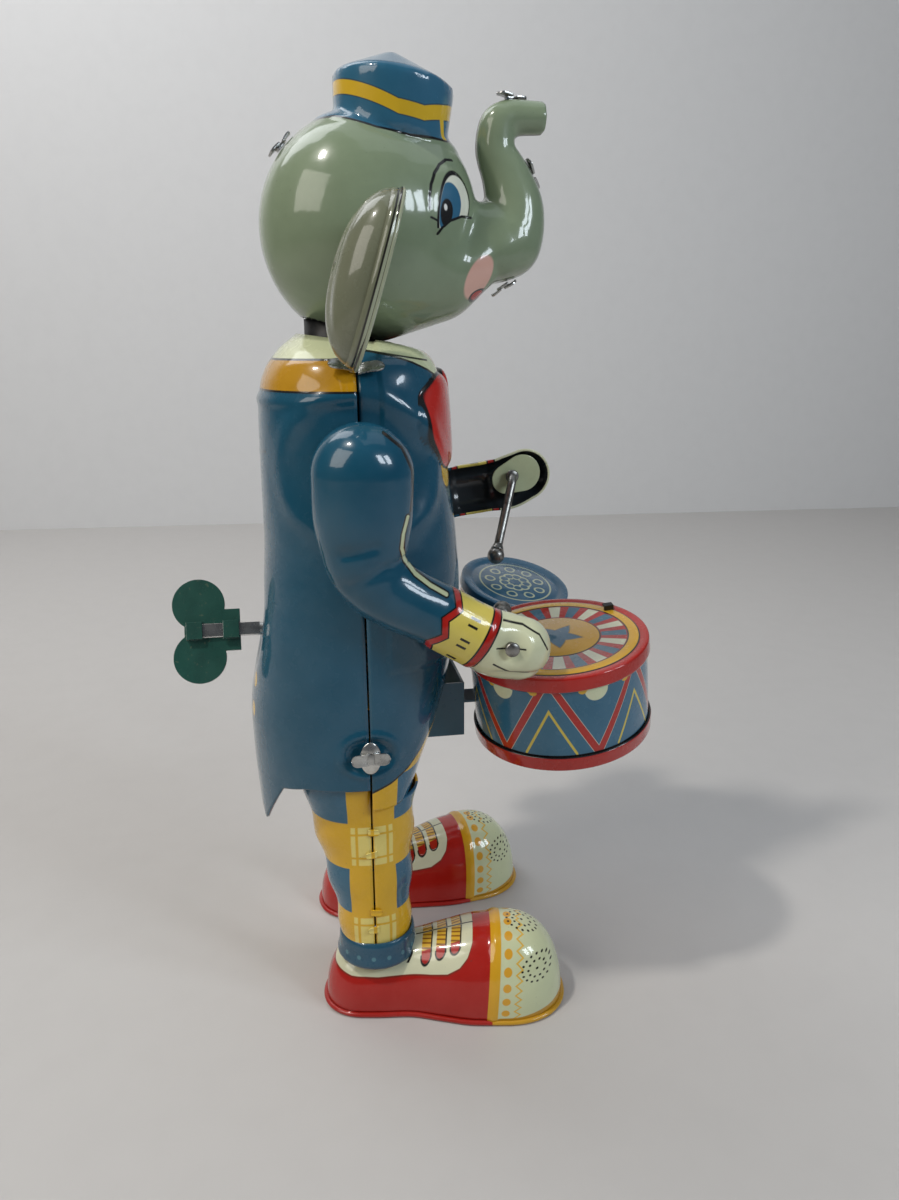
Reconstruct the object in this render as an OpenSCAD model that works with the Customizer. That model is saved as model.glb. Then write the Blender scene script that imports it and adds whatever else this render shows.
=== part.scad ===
// Clockwork elephant drummer in printed tin plate.
// It faces -Y, stands on its soles at Z = 0, and all lengths are in millimetres.

/* [Tin] */
// Thickness of the pressed tin skins
tin = 0.6; // [0.4:0.1:0.8]
// Width of the open seam between two skins
seam_gap = 0.4; // [0.2:0.1:0.8]

/* [Stance] */
// Distance between the two ankles
ankle_gap = 39; // [37:0.5:41]
// Angle that each shoe turns outwards
shoe_splay = 9; // [6:1:12]

/* [Arms] */
// Height of the shoulder shafts above the floor
shoulder_z = 126; // [125:0.5:127]
// Angle of the raised left arm above the lowered right arm
left_arm_lift = 38; // [35:1:41]
// Diameter of the shoulder shafts
shaft_d = 3; // [2.6:0.1:3.2]

/* [Drums] */
// Radius of the big drum's wall
big_drum_r = 20.4; // [19:0.2:20.6]
// Height of the big drum
big_drum_h = 23; // [20:0.5:24]
// Radius of the small drum's wall
small_drum_r = 14; // [12:0.2:14.2]
// Height of the small drum
small_drum_h = 13; // [10:0.5:14]

/* [Clockwork] */
// Module of every gear
gear_module = 0.5; // [0.48:0.01:0.5]
// Teeth on the great wheel
great_teeth = 48; // [44:2:48]
// Turns of the mainspring
spring_turns = 6; // [4:1:8]
// Radial running clearance of a shaft in its bore
running_fit = 0.05; // [0.03:0.01:0.08]

/* [Hidden] */

// The ankles stand this far in front of the middle of the whole toy's length.
frame_y = 11.64;
tiny = 0.01;

// ---- Colours ----
coat_blue = "#2f6f8f";
trouser_yellow = "#e8c33a";
skin_grey = "#9fa88e";
shoe_red = "#c2281e";
cream = "#dfe3bd";
key_green = "#2d6a60";
steel = "#b9bcbd";
brass = "#c9a24a";
dark_steel = "#6b6e70";

// ---- Points and skins ----
// A point by its place across, its distance forward of the ankles and its height.
function at(x, fwd, z) = [x, -fwd, z];
function unit(v) = v / max(norm(v), 1e-9);
function signed_pow(v, e) = sign(v) * pow(abs(v), e);
// A point on a superellipse arc, with half width w and depth d.
function arc_x(w, t, n) = w * signed_pow(cos(t), 2 / n);
function arc_d(d, t, n) = d * signed_pow(sin(t), 2 / n);
// The surface normal of a grid at row i and column j.
function grid_normal(g, i, j) = let (
    up = g[min(i + 1, len(g) - 1)][j] - g[max(i - 1, 0)][j],
    side = g[i][min(j + 1, len(g[0]) - 1)] - g[i][max(j - 1, 0)])
    unit(cross(side, up));
function pushed(g, t) = [for (i = [0:len(g) - 1]) [for (j = [0:len(g[0]) - 1])
    g[i][j] - t * grid_normal(g, i, j)]];

// A sheet of tin of thickness t behind the outer grid, whose rows run anticlockwise.
module skin(outer, t) {
    inner = pushed(outer, t);
    m = len(outer);
    n = len(outer[0]);
    k = m * n;
    points = concat([for (r = outer) each r], [for (r = inner) each r]);
    function quad(a, b, c, d) = [[a, c, b], [a, d, c]];
    faces = concat(
        [for (i = [0:m - 2], j = [0:n - 2])
            each quad(i * n + j, i * n + j + 1, (i + 1) * n + j + 1, (i + 1) * n + j)],
        [for (i = [0:m - 2], j = [0:n - 2])
            each quad(k + (i + 1) * n + j, k + (i + 1) * n + j + 1, k + i * n + j + 1, k + i * n + j)],
        [for (i = [0:m - 2]) each quad(k + i * n, i * n, (i + 1) * n, k + (i + 1) * n)],
        [for (i = [0:m - 2]) each quad(i * n + n - 1, k + i * n + n - 1,
            k + (i + 1) * n + n - 1, (i + 1) * n + n - 1)],
        [for (j = [0:n - 2]) each quad(k + j, k + j + 1, j + 1, j)],
        [for (j = [0:n - 2]) each quad((m - 1) * n + j, (m - 1) * n + j + 1,
            k + (m - 1) * n + j + 1, k + (m - 1) * n + j)]);
    polyhedron(points, faces, convexity = 6);
}

// ---- Coat ----
seam_f = -1.5;
coat_n = 2.4;
arc_steps = 18;
// Height, half width, front and back of each coat section, from the waist up.
coat = [[53, 28.4, 13.5, -26.2], [60, 28.4, 16.6, -26.8], [68, 28.1, 19.2, -27],
    [78, 27.7, 21.1, -26], [88, 27.2, 21.9, -24.4], [98, 26.7, 22, -22.7],
    [110, 26.1, 20.7, -21.7], [123, 25.8, 19.2, -21.6], [135, 25.6, 18.6, -21.4],
    [142, 24.6, 18, -20.6], [146, 22.6, 16.8, -19], [149, 18.6, 14.6, -16.4],
    [151, 13.5, 11.5, -12.5]];
collar_rise = 1.4;

function front_row(s) = let (d = s[2] - seam_f - seam_gap / 2, rise = s[0] > 150 ? collar_rise : 0)
    [for (k = [0:arc_steps]) let (t = 180 - 180 * k / arc_steps)
        at(arc_x(s[1], t, coat_n), seam_f + seam_gap / 2 + arc_d(d, t, coat_n),
            s[0] - rise * sin(t))];
// The coat tails: the hem of the back dips to two points beside a centre slit.
tail_drop = 8;
tail_angle = 22;
function hem(t) = let (off = abs(t - 90))
    off > 60 ? 0 : off > tail_angle ? tail_drop * (60 - off) / (60 - tail_angle)
        : tail_drop * (0.3 + 0.7 * off / tail_angle);
function back_row(s, low) = let (d = -s[2 + 1] + seam_f - seam_gap / 2,
    rise = s[0] > 150 ? collar_rise : 0)
    [for (k = [0:arc_steps]) let (t = 180 * k / arc_steps)
        at(arc_x(s[1], t, coat_n), seam_f - seam_gap / 2 - arc_d(d, t, coat_n),
            s[0] + rise * sin(t) - (low ? hem(t) : 0))];

// ---- Trousers ----
crotch_x = 14.2;
ankle_x = ankle_gap / 2;
leg_steps = 12;
// Height, middle across, half width, front and back of each trouser section.
trousers = [[12.5, ankle_x, 7.9, 7.2, -8.4], [24, ankle_x - 1, 8.7, 7.6, -9.6],
    [36, ankle_x - 2.6, 10, 8.2, -12], [48, crotch_x + 0.8, 11.6, 9.2, -14.8],
    [54, crotch_x, 12.6, 10, -16]];
function leg_row(s, side, dir) = let (
    d = dir > 0 ? s[3] - seam_f - seam_gap / 2 : seam_f - seam_gap / 2 - s[4])
    [for (k = [0:leg_steps]) let (t = dir > 0 ? 180 - 180 * k / leg_steps : 180 * k / leg_steps)
        at(side * s[1] + arc_x(s[2], t, 2.2),
            seam_f + dir * (seam_gap / 2 + arc_d(d, t, 2.2)), s[0])];

shaft_hole_d = shaft_d + 1.6;
module shoulder_hole() {
    translate(at(0, seam_f, shoulder_z)) rotate([0, 90, 0])
        cylinder(d = shaft_hole_d, h = 70, center = true, $fn = 32);
}

// The hip tabs reach through a notch in the seam.
hip_x = 29.1;
hip_z = 66;
module hip_notch() {
    for (side = [-1, 1]) translate(at(side * (hip_x - 1.5), seam_f, hip_z))
        cube([5, 2.6, 1.4], center = true);
}

// Two flanges of the drum bracket pass through slots in the belly.
flange_x = [-12, 12];
flange_z = [62, 75];
slot_play = 0.15;

module body_front_shell() {
    color(coat_blue) difference() {
        skin([for (s = coat) front_row(s)], tin);
        shoulder_hole();
        hip_notch();
        for (x = flange_x) translate([x - tin / 2 - slot_play, -24, flange_z[0] - slot_play])
            cube([tin + 2 * slot_play, 14, flange_z[1] - flange_z[0] + 2 * slot_play]);
    }
    color(trouser_yellow) for (side = [-1, 1])
        skin([for (s = trousers) if (s[0] < 52.5) leg_row(s, side, 1)], tin);
}

key_z = 87;
module body_back_shell() {
    color(coat_blue) difference() {
        skin([for (i = [0:len(coat) - 1]) back_row(coat[i], i == 0)], tin);
        shoulder_hole();
        hip_notch();
        translate(at(0, -18, key_z)) rotate([90, 0, 0]) cylinder(d = 7, h = 20, center = true, $fn = 32);
        translate([-1.5, 15, 117.5]) cube([3, 12, 6.5]);
    }
}

module leg_back(side) {
    color(trouser_yellow) skin([for (s = trousers) if (s[0] < 50) leg_row(s, side, -1)], tin);
}
module leg_back_right() { leg_back(-1); }
module leg_back_left() { leg_back(1); }

// ---- Shoes ----
sole_t = 0.8;
rim = 1.2;
// Distance forward of the ankle, half width, reach and height of each swelling.
shoe_form = [[-3, 9.9, 9.8, 11.2], [7, 10, 9, 13.4], [15, 10.6, 9, 16.6], [23, 11.8, 10, 18.8],
    [29.5, 12.2, 13.8, 19.4]];
shoe_n = 2.4;
sock_r = 9.1;
sock_f = -0.5;
module placed_shoe(side) {
    translate([side * ankle_x, 0, 0]) rotate([0, 0, side * shoe_splay]) children();
}
module swelling(s, less) {
    translate([0, -s[0], sole_t]) scale([s[1] - less, s[2] - less, s[3] - sole_t - less])
        rotate_extrude($fn = 28) polygon(concat([[0, 0]], [for (t = [0:15:90])
            [t == 90 ? 0 : arc_x(1, t, shoe_n), arc_d(1, t, shoe_n)]]));
}
module shoe_body(less) {
    for (i = [0:len(shoe_form) - 2]) hull() {
        swelling(shoe_form[i], less);
        swelling(shoe_form[i + 1], less);
    }
}
module shoe(side) {
    color(shoe_red) placed_shoe(side) difference() {
        shoe_body(0);
        shoe_body(tin);
        translate([-30, -60, sole_t - 30]) cube([60, 90, 30]);
        translate(at(0, sock_f, 5)) cylinder(r = sock_r - 0.3, h = 20, $fn = 40);
    }
    color(coat_blue) placed_shoe(side) translate(at(0, sock_f, 4)) difference() {
        cylinder(r = sock_r + 0.2, h = 11.4, $fn = 40);
        translate([0, 0, -tiny]) cylinder(r = sock_r - 0.4, h = 12, $fn = 40);
    }
}
module shoe_right() { shoe(-1); }
module shoe_left() { shoe(1); }
module sole(side) {
    color(shoe_red) placed_shoe(side) linear_extrude(sole_t) {
        hull() {
            translate([0, 3]) circle(r = 9 + rim, $fn = 40);
            translate([0, -7]) circle(r = 9.2 + rim, $fn = 40);
        }
        hull() {
            translate([0, -7]) circle(r = 9.2 + rim, $fn = 40);
            translate([0, -30.6]) circle(r = 12.2 + rim, $fn = 40);
        }
    }
}
module sole_right() { sole(-1); }
module sole_left() { sole(1); }

// ---- Clips on the seams ----
module shoulder_clips() {
    color(steel) for (side = [-1, 1]) translate(at(side * 23.5, seam_f, 145.9)) rotate([0, side * 40, 0]) {
        translate([-2.6, -3.4, 0.3]) cube([5.2, 6.8, 0.7]);
        for (dir = [-1, 1]) translate([-1.2, dir * 3.4 - 1.6, 1]) cube([2.4, 3.2, 0.6]);
    }
}
module hip_washers() {
    color(steel) for (side = [-1, 1]) translate(at(side * hip_x, seam_f, hip_z)) rotate([0, 90, 0])
        difference() {
            cylinder(r = 3.6, h = 0.6, center = true, $fn = 32);
            cube([1.2, 2.4, 2], center = true);
        }
}
module hip_tabs() {
    color(steel) for (side = [-1, 1]) translate(at(side * hip_x, seam_f, hip_z)) {
        translate([side * 0.65, 0, 0]) cube([0.7, 8.6, 2.2], center = true);
        translate([-side * 0.9, 0, 0]) cube([2.4, 2.2, 1], center = true);
    }
}

// ---- Drums ----
wall_t = 0.5;
lid_rim = 3.4;
big_drum_at = at(-13, 43.3, 85.4);
big_drum_tilt = [-6.8, -6.5, 0];
small_drum_at = at(22.7, 42.2, 88.9);
small_drum_tilt = [8.3, -14.8, 0];
module on_big_drum() {
    translate(big_drum_at) rotate(big_drum_tilt) children();
}
module on_small_drum() {
    translate(small_drum_at) rotate(small_drum_tilt) children();
}
module drum_wall(r, h) {
    translate([0, 0, -h + wall_t]) difference() {
        cylinder(r = r, h = h - 2 * wall_t, $fn = 64);
        translate([0, 0, -1]) cylinder(r = r - wall_t, h = h + 2, $fn = 64);
    }
}
// A pressed lid with a turned-down rim, its flat face at Z = 0.
module drum_lid(r, rim_h) {
    translate([0, 0, -rim_h]) difference() {
        cylinder(r = r + wall_t, h = rim_h, $fn = 64);
        translate([0, 0, -1]) cylinder(r = r, h = rim_h - wall_t + 1, $fn = 64);
    }
}
// Tabs of the bracket reach through the drum walls.
big_tab = [-11, 20.5, 69.5];
small_tab = [20.5, 20.5, 83.4];
tab_w = 7;
module tab_bar(corner, long, play) {
    translate([corner[0] - play, -corner[1] - long, corner[2] - play])
        cube([tab_w + 2 * play, long, tin + 2 * play]);
}
module big_drum_wall() {
    color(coat_blue) difference() {
        on_big_drum() drum_wall(big_drum_r, big_drum_h);
        tab_bar(big_tab, 10, slot_play);
    }
}
module big_drum_top() {
    color(shoe_red) difference() {
        on_big_drum() drum_lid(big_drum_r, lid_rim);
        on_big_drum() translate([9, -15.6, 0]) cube([1, 2.4, 3], center = true);
    }
}
module big_drum_bottom() {
    color(shoe_red) on_big_drum() translate([0, 0, -big_drum_h]) mirror([0, 0, 1])
        drum_lid(big_drum_r, lid_rim);
}
module big_drum_tab() {
    color(dark_steel) on_big_drum() {
        translate([9, -15.6, -0.4]) cube([0.9, 2.3, 2], center = true);
        translate([9.5, -15.6, 0.9]) cube([1.9, 2.3, 0.6], center = true);
    }
}
module small_drum_wall() {
    color(brass) difference() {
        on_small_drum() drum_wall(small_drum_r, small_drum_h);
        tab_bar(small_tab, 13, slot_play);
    }
}
module small_drum_head() {
    color(coat_blue) on_small_drum() difference() {
        drum_lid(small_drum_r, 2.6);
        rotate_extrude($fn = 64) translate([small_drum_r - 2.2, 0]) square([0.8, 0.4], center = true);
    }
}
module small_drum_bottom() {
    color(coat_blue) on_small_drum() translate([0, 0, -small_drum_h]) mirror([0, 0, 1])
        drum_lid(small_drum_r, 2.6);
}
web_f = 20.6;
module drum_bracket() {
    color(coat_blue) {
        for (x = flange_x) translate([x - tin / 2, -web_f - tin, flange_z[0]])
            cube([tin, 9, flange_z[1] - flange_z[0]]);
        translate([flange_x[0] - tin / 2, -web_f - 2 * tin, flange_z[0]])
            cube([26.3, tin, flange_z[1] - flange_z[0]]);
        translate([14, -web_f - 2 * tin, 68]) cube([14, tin, 16]);
        tab_bar(big_tab, 7.2, 0);
        tab_bar(small_tab, 11, 0);
    }
}

// ---- Clockwork motor ----
plate_t = 0.8;
back_plate_f = -13;
front_plate_f = 5;
crank_z = 103;
second_teeth = 36;
crank_teeth = 30;
pinion_teeth = 10;
small_pinion_teeth = 9;
arbor_d = 2;
main_arbor_d = 3;
function centre_distance(a, b) = gear_module * (a + b) / 2;
main_reach = centre_distance(great_teeth, pinion_teeth);
second_reach = centre_distance(second_teeth, small_pinion_teeth);
escape_reach = centre_distance(crank_teeth, small_pinion_teeth);
// The second arbor stands where both centre distances meet.
second_z = ((main_reach * main_reach - second_reach * second_reach)
    + crank_z * crank_z - key_z * key_z) / (2 * (crank_z - key_z));
second_x = -sqrt(main_reach * main_reach - pow(second_z - key_z, 2));
escape_dir = 5;
escape_x = escape_reach * cos(escape_dir);
escape_z = crank_z + escape_reach * sin(escape_dir);
// The pallet rocks on its own arbor beside the star wheel.
pallet_reach = 8.8;
pallet_dir = -55;
pallet_x = escape_x + pallet_reach * cos(pallet_dir);
pallet_z = escape_z + pallet_reach * sin(pallet_dir);
rocker_z = 117;

// A bar along the depth of the toy, from one distance forward to another.
module bar(x, z, f0, f1, d) {
    translate(at(x, f0, z)) rotate([90, 0, 0]) cylinder(d = d, h = f1 - f0, $fn = 32);
}
function gear_outline(n, m) = [for (i = [0:n - 1], c = [[-0.33, -1.15], [-0.14, 0.85],
    [0.14, 0.85], [0.33, -1.15]])
    let (a = 360 / n * (i + c[0]), r = m * (n / 2 + c[1])) [r * cos(a), r * sin(a)]];
module gear(x, z, f0, f1, n, phase, bore) {
    translate(at(x, f0, z)) rotate([90, 0, 0]) linear_extrude(f1 - f0) difference() {
        rotate(phase) polygon(gear_outline(n, gear_module));
        circle(d = bore, $fn = 32);
    }
}
// The turn that puts a gap of one gear on the line to a neighbour in direction dir.
function gap_at(n, dir) = dir + 180 / n;
function tooth_at(n, dir) = dir;
second_dir = atan2(second_z - key_z, second_x);
third_dir = atan2(crank_z - second_z, -second_x);

plate_x = 17;
module plate_outline(top) {
    hull() for (x = [-plate_x + 2, plate_x - 2], z = [74, top]) translate([x, z]) circle(r = 2, $fn = 32);
}
pillar_at = [[-13.5, 76], [13.5, 76], [-15, 108.4], [15, 108.4]];
module motor_plate(f, top, holes) {
    translate(at(0, f, 0)) rotate([90, 0, 0]) linear_extrude(plate_t) difference() {
        plate_outline(top);
        for (h = holes) translate([h[0], h[1]]) circle(d = h[2], $fn = 32);
    }
}
small_bore = arbor_d + 2 * running_fit;
arbor_holes = [[0, key_z, main_arbor_d + 2 * running_fit], [second_x, second_z, small_bore],
    [0, crank_z, small_bore], [escape_x, escape_z, small_bore],
    [pallet_x, pallet_z, small_bore]];
pillar_holes = [for (p = pillar_at) [p[0], p[1], 2]];
module motor_back_plate() {
    color(steel) motor_plate(back_plate_f, 110, concat(arbor_holes, pillar_holes));
}
module motor_front_plate() {
    color(steel) motor_plate(front_plate_f, 119,
        concat(arbor_holes, pillar_holes, [[0, rocker_z, 2]]));
}
module motor_pillars() {
    color(brass) for (p = pillar_at) {
        bar(p[0], p[1], back_plate_f - 0.6, front_plate_f + plate_t + 0.6, 2);
        bar(p[0], p[1], back_plate_f + plate_t, front_plate_f, 3.4);
    }
}
// Feet that carry the motor on the two hip tabs.
module motor_feet() {
    color(steel) for (side = [-1, 1]) {
        translate([side * 21 - 4.8, 2, 70]) cube([9.6, 10, 0.8]);
        translate([side > 0 ? 16.2 : -17, 2, 70.8]) cube([0.8, 10, 7]);
        translate([side * 17.85 - 1.65, 11.4, 70.8]) cube([3.3, 0.8, 7]);
    }
}
module rocker_stud() {
    color(steel) {
        bar(0, rocker_z, front_plate_f - 0.6, 12.4, 2);
        bar(0, rocker_z, front_plate_f + plate_t, 9.8, 3.6);
    }
}

spring_in = 2.6;
spring_out = 10.8;
spring_t = 0.35;
function spiral(r, a) = [r * cos(a), r * sin(a)];
module mainspring() {
    steps = 20 * spring_turns;
    pitch = (spring_out - spring_in) / steps;
    color(dark_steel) translate(at(0, -10.5, key_z)) rotate([90, 0, 0]) linear_extrude(5) polygon(concat(
        [for (i = [0:steps]) spiral(spring_in + i * pitch, i * 18)],
        [for (i = [steps:-1:0]) spiral(spring_in + i * pitch - spring_t, i * 18)]));
}

key_f = -28.4;
key_turn = 24;
square_d = 2.8;
module winding_arbor() {
    color(steel) {
        bar(0, key_z, -24, 6.2, main_arbor_d);
        translate(at(0, -24, key_z)) rotate([0, key_turn, 0])
            translate([-square_d / 2, 0, -square_d / 2]) cube([square_d, 15.5, square_d]);
    }
}
key_lobe_r = 5.9;
module winding_key() {
    color(key_green) translate(at(0, key_f, key_z)) rotate([0, key_turn, 0]) difference() {
        union() {
            rotate([90, 0, 90]) linear_extrude(1.2, center = true) difference() {
                union() {
                    for (z = [-6.1, 6.1]) translate([9.2, z]) circle(r = key_lobe_r, $fn = 48);
                    translate([0, -3.4]) square([12.5, 6.8]);
                    translate([0, -4.8]) square([4.4, 9.6]);
                }
                translate([4, -1.6]) square([4.4, 3.2]);
            }
            for (y = [0.2, 8.4]) translate([-2, y, -2]) cube([4, 3.6, 4]);
        }
        translate([-square_d / 2, -1, -square_d / 2]) cube([square_d, 12.2, square_d]);
    }
}
module great_wheel() {
    color(brass) gear(0, key_z, -1, 0.2, great_teeth, gap_at(great_teeth, second_dir), main_arbor_d);
}
module ratchet_wheel() {
    color(steel) translate(at(0, -12 + 0.4, key_z)) rotate([90, 0, 0]) linear_extrude(0.8) difference() {
        polygon([for (i = [0:11], c = [[0, 3.4], [0.95, 4.6]]) let (a = 30 * (i + c[0]))
            [c[1] * cos(a), c[1] * sin(a)]]);
        circle(d = main_arbor_d, $fn = 32);
    }
}
module ratchet_click() {
    color(steel) {
        translate(at(0, -12 + 0.4, 0)) rotate([90, 0, 0]) linear_extrude(0.8)
            polygon([[4.9, 88], [5.3, 86.4], [11.8, 79], [13.4, 80.6], [7, 88.4]]);
        bar(12, 80.4, back_plate_f + plate_t, -11.6, 2.2);
    }
}
module second_arbor() {
    color(steel) bar(second_x, second_z, back_plate_f - 0.6, front_plate_f + plate_t + 0.6, arbor_d);
}
module second_wheel() {
    color(brass) {
        gear(second_x, second_z, -1.4, 0.6, pinion_teeth, tooth_at(pinion_teeth, second_dir + 180), arbor_d);
        gear(second_x, second_z, 0.6, 1.6, second_teeth, gap_at(second_teeth, third_dir), arbor_d);
    }
}
crank_throw = 2.4;
// The arbor ends in a disc whose offset pin faces the rocker's slot.
module crank_arbor() {
    color(steel) {
        bar(0, crank_z, back_plate_f - 0.6, 6.6, arbor_d);
        translate(at(0, 6.6, crank_z)) rotate([90, 0, 0]) cylinder(r = 4, h = 1, $fn = 32);
        bar(0, crank_z - crank_throw, 7.6, 9.6, 1.6);
    }
}
module crank_wheel() {
    color(brass) {
        gear(0, crank_z, 0.1, 2.1, small_pinion_teeth, tooth_at(small_pinion_teeth, third_dir + 180), arbor_d);
        gear(0, crank_z, 2.4, 3.4, crank_teeth, gap_at(crank_teeth, escape_dir), arbor_d);
        translate(at(0, 2.1, crank_z)) rotate([90, 0, 0]) difference() {
            cylinder(d = 3.4, h = 0.3, $fn = 32);
            translate([0, 0, -tiny]) cylinder(d = arbor_d, h = 1, $fn = 32);
        }
    }
}
module escape_arbor() {
    color(steel) bar(escape_x, escape_z, back_plate_f - 0.6, front_plate_f + plate_t + 0.6, arbor_d);
}
module escape_wheel() {
    color(brass) {
        gear(escape_x, escape_z, 1.9, 3.9, small_pinion_teeth,
            tooth_at(small_pinion_teeth, escape_dir + 180), arbor_d);
        translate(at(escape_x, -9, escape_z)) rotate([90, 0, 0]) linear_extrude(1) difference() {
            polygon([for (i = [0:9], c = [[0, 3.4], [0.8, 5.2]]) let (a = 36 * (i + c[0]))
                [c[1] * cos(a), c[1] * sin(a)]]);
            circle(d = arbor_d, $fn = 32);
        }
    }
}
// The pallet's two pins stop just outside the star wheel's tips.
pallet_pin = [3, 3.4];
module pallet() {
    color(steel) translate([pallet_x, 0, pallet_z]) rotate([0, -90 - pallet_dir, 0]) {
        bar(0, 0, back_plate_f - 0.6, front_plate_f + plate_t + 0.6, arbor_d);
        translate([0, 7.4, 0]) rotate([90, 0, 0]) linear_extrude(1) difference() {
            union() {
                circle(r = 2, $fn = 32);
                for (side = [-1, 1]) hull() {
                    circle(r = 0.9, $fn = 24);
                    translate([side * pallet_pin[1], pallet_pin[0]]) circle(r = 0.7, $fn = 24);
                }
            }
            circle(d = arbor_d, $fn = 32);
        }
        for (side = [-1, 1]) translate([side * pallet_pin[1], 9.4, pallet_pin[0]]) rotate([90, 0, 0])
            cylinder(d = 0.9, h = 2.2, $fn = 24);
        rotate([0, 90 + pallet_dir, 0]) translate([0, 7.4, 0]) rotate([90, 0, 0])
            linear_extrude(1) difference() {
                union() {
                    translate([-0.8, -8]) square([1.6, 8]);
                    translate([0, -8]) circle(r = 2.2, $fn = 32);
                }
                circle(r = 1.9, $fn = 32);
            }
    }
}

// ---- Rocker and shoulder gear ----
rocker_f = 10;
lever_long = 12;
right_lever_x = -12;
left_lever_x = 6;
finger_top = shoulder_z - 2.1;
module rocker() {
    color(steel) translate(at(0, rocker_f, 0)) rotate([90, 0, 0]) linear_extrude(1) difference() {
        union() {
            translate([0, rocker_z]) circle(r = 3, $fn = 32);
            translate([right_lever_x - 1.2, rocker_z - 1]) square([left_lever_x - right_lever_x + 2.4, 2]);
            for (x = [right_lever_x, left_lever_x]) translate([x - 1.2, rocker_z - 1])
                square([2.4, finger_top - rocker_z + 1]);
            translate([-1.8, crank_z - 4]) square([3.6, rocker_z - crank_z + 4]);
        }
        translate([0, rocker_z]) circle(d = 2 + 2 * running_fit, $fn = 32);
        translate([-0.95, crank_z - 3.4]) square([1.9, 6.8]);
    }
}
deck_z = 112;
module arm_bracket() {
    cheek = [[-15.4, 0.8], [-3.3, 1.6], [14.6, 0.8]];
    color(steel) {
        translate([-15.4, -front_plate_f, deck_z - plate_t])
            cube([30.8, front_plate_f - back_plate_f - plate_t, plate_t]);
        for (c = cheek) difference() {
            translate([c[0], -3, deck_z]) cube([c[1], 9, shoulder_z + 3.5 - deck_z]);
            translate(at(c[0] - 1, seam_f, shoulder_z)) rotate([0, 90, 0])
                cylinder(d = shaft_d + 2 * running_fit, h = c[1] + 2, $fn = 32);
        }
    }
}
module arm_shaft(x0, x1) {
    color(steel) translate(at(x0, seam_f, shoulder_z)) rotate([0, 90, 0])
        cylinder(d = shaft_d, h = x1 - x0, $fn = 32);
}
module arm_lever(x) {
    color(steel) translate(at(x - 0.75, seam_f, shoulder_z)) rotate([90, 0, 90]) linear_extrude(1.5)
        difference() {
            union() {
                circle(r = 3, $fn = 32);
                translate([-lever_long - 1.2, -0.9]) square([lever_long, 1.8]);
            }
            circle(d = shaft_d, $fn = 32);
        }
}
module arm_shaft_right() { arm_shaft(-34.5, -2.6); }
module arm_shaft_left() { arm_shaft(-2.4, 34.5); }
module arm_lever_right() { arm_lever(right_lever_x); }
module arm_lever_left() { arm_lever(left_lever_x); }

// ---- Arms ----
arm_rim_x = 30;
// Forward distance, height and radius of each ball along the arm, for the right arm.
arm_form = [[-1.4, 126.2, 9.4], [-1.6, 118.5, 9.3], [-1.4, 110.5, 8.2], [1, 104.8, 7.4],
    [6.5, 100.6, 6.9], [12.5, 97.5, 6.6], [19.5, 93.4, 6.6], [25.5, 90.2, 7.2], [30, 89, 6.9]];
arm_depth = 0.92;
hand_f = 27;
hand_z = 91.2;
stick_d = 2.4;
module arm_ball(b, less) {
    translate(at(0, b[0], b[1])) scale([arm_depth, 1, 1]) sphere(r = b[2] - less, $fn = 24);
}
module arm_body(less) {
    for (i = [0:len(arm_form) - 2]) hull() {
        arm_ball(arm_form[i], less);
        arm_ball(arm_form[i + 1], less);
    }
}
// The right arm lies as modelled; the left one is its mirror image, raised.
module arm_side(side) {
    if (side < 0) children();
    else translate(at(0, seam_f, shoulder_z)) rotate([-left_arm_lift, 0, 0])
        translate(-at(0, seam_f, shoulder_z)) mirror([1, 0, 0]) children();
}
module arm_shell(side) {
    color(coat_blue) arm_side(side) translate([-arm_rim_x, 0, 0]) difference() {
        arm_body(0);
        arm_body(tin);
        translate([0, -60, 60]) cube([20, 90, 90]);
        translate(at(-20, hand_f, hand_z)) rotate([0, 90, 0]) cylinder(d = stick_d + 0.1, h = 20, $fn = 24);
    }
}
module arm_shell_right() { arm_shell(-1); }
module arm_shell_left() { arm_shell(1); }
module palm(side) {
    color(cream) arm_side(side) translate([-arm_rim_x - 0.7, 0, 0]) rotate([90, 0, 90])
        linear_extrude(0.6) difference() {
            hull() {
                translate([-20.5, 93]) circle(r = 5.5, $fn = 40);
                translate([-29.6, 89.2]) circle(r = 6.1, $fn = 40);
            }
            translate([-hand_f, hand_z]) circle(d = stick_d, $fn = 32);
        }
}
module palm_right() { palm(-1); }
module palm_left() { palm(1); }
module shoulder_plate(side) {
    color(coat_blue) arm_side(side) translate([-arm_rim_x - 0.7, 0, 0]) rotate([90, 0, 90])
        linear_extrude(0.6) difference() {
            hull() {
                translate([1.4, 126.2]) circle(r = 8, $fn = 40);
                translate([1.6, 119]) circle(r = 8, $fn = 40);
            }
            translate([-seam_f, shoulder_z]) circle(d = shaft_d, $fn = 32);
        }
}
module shoulder_plate_right() { shoulder_plate(-1); }
module shoulder_plate_left() { shoulder_plate(1); }

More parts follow.
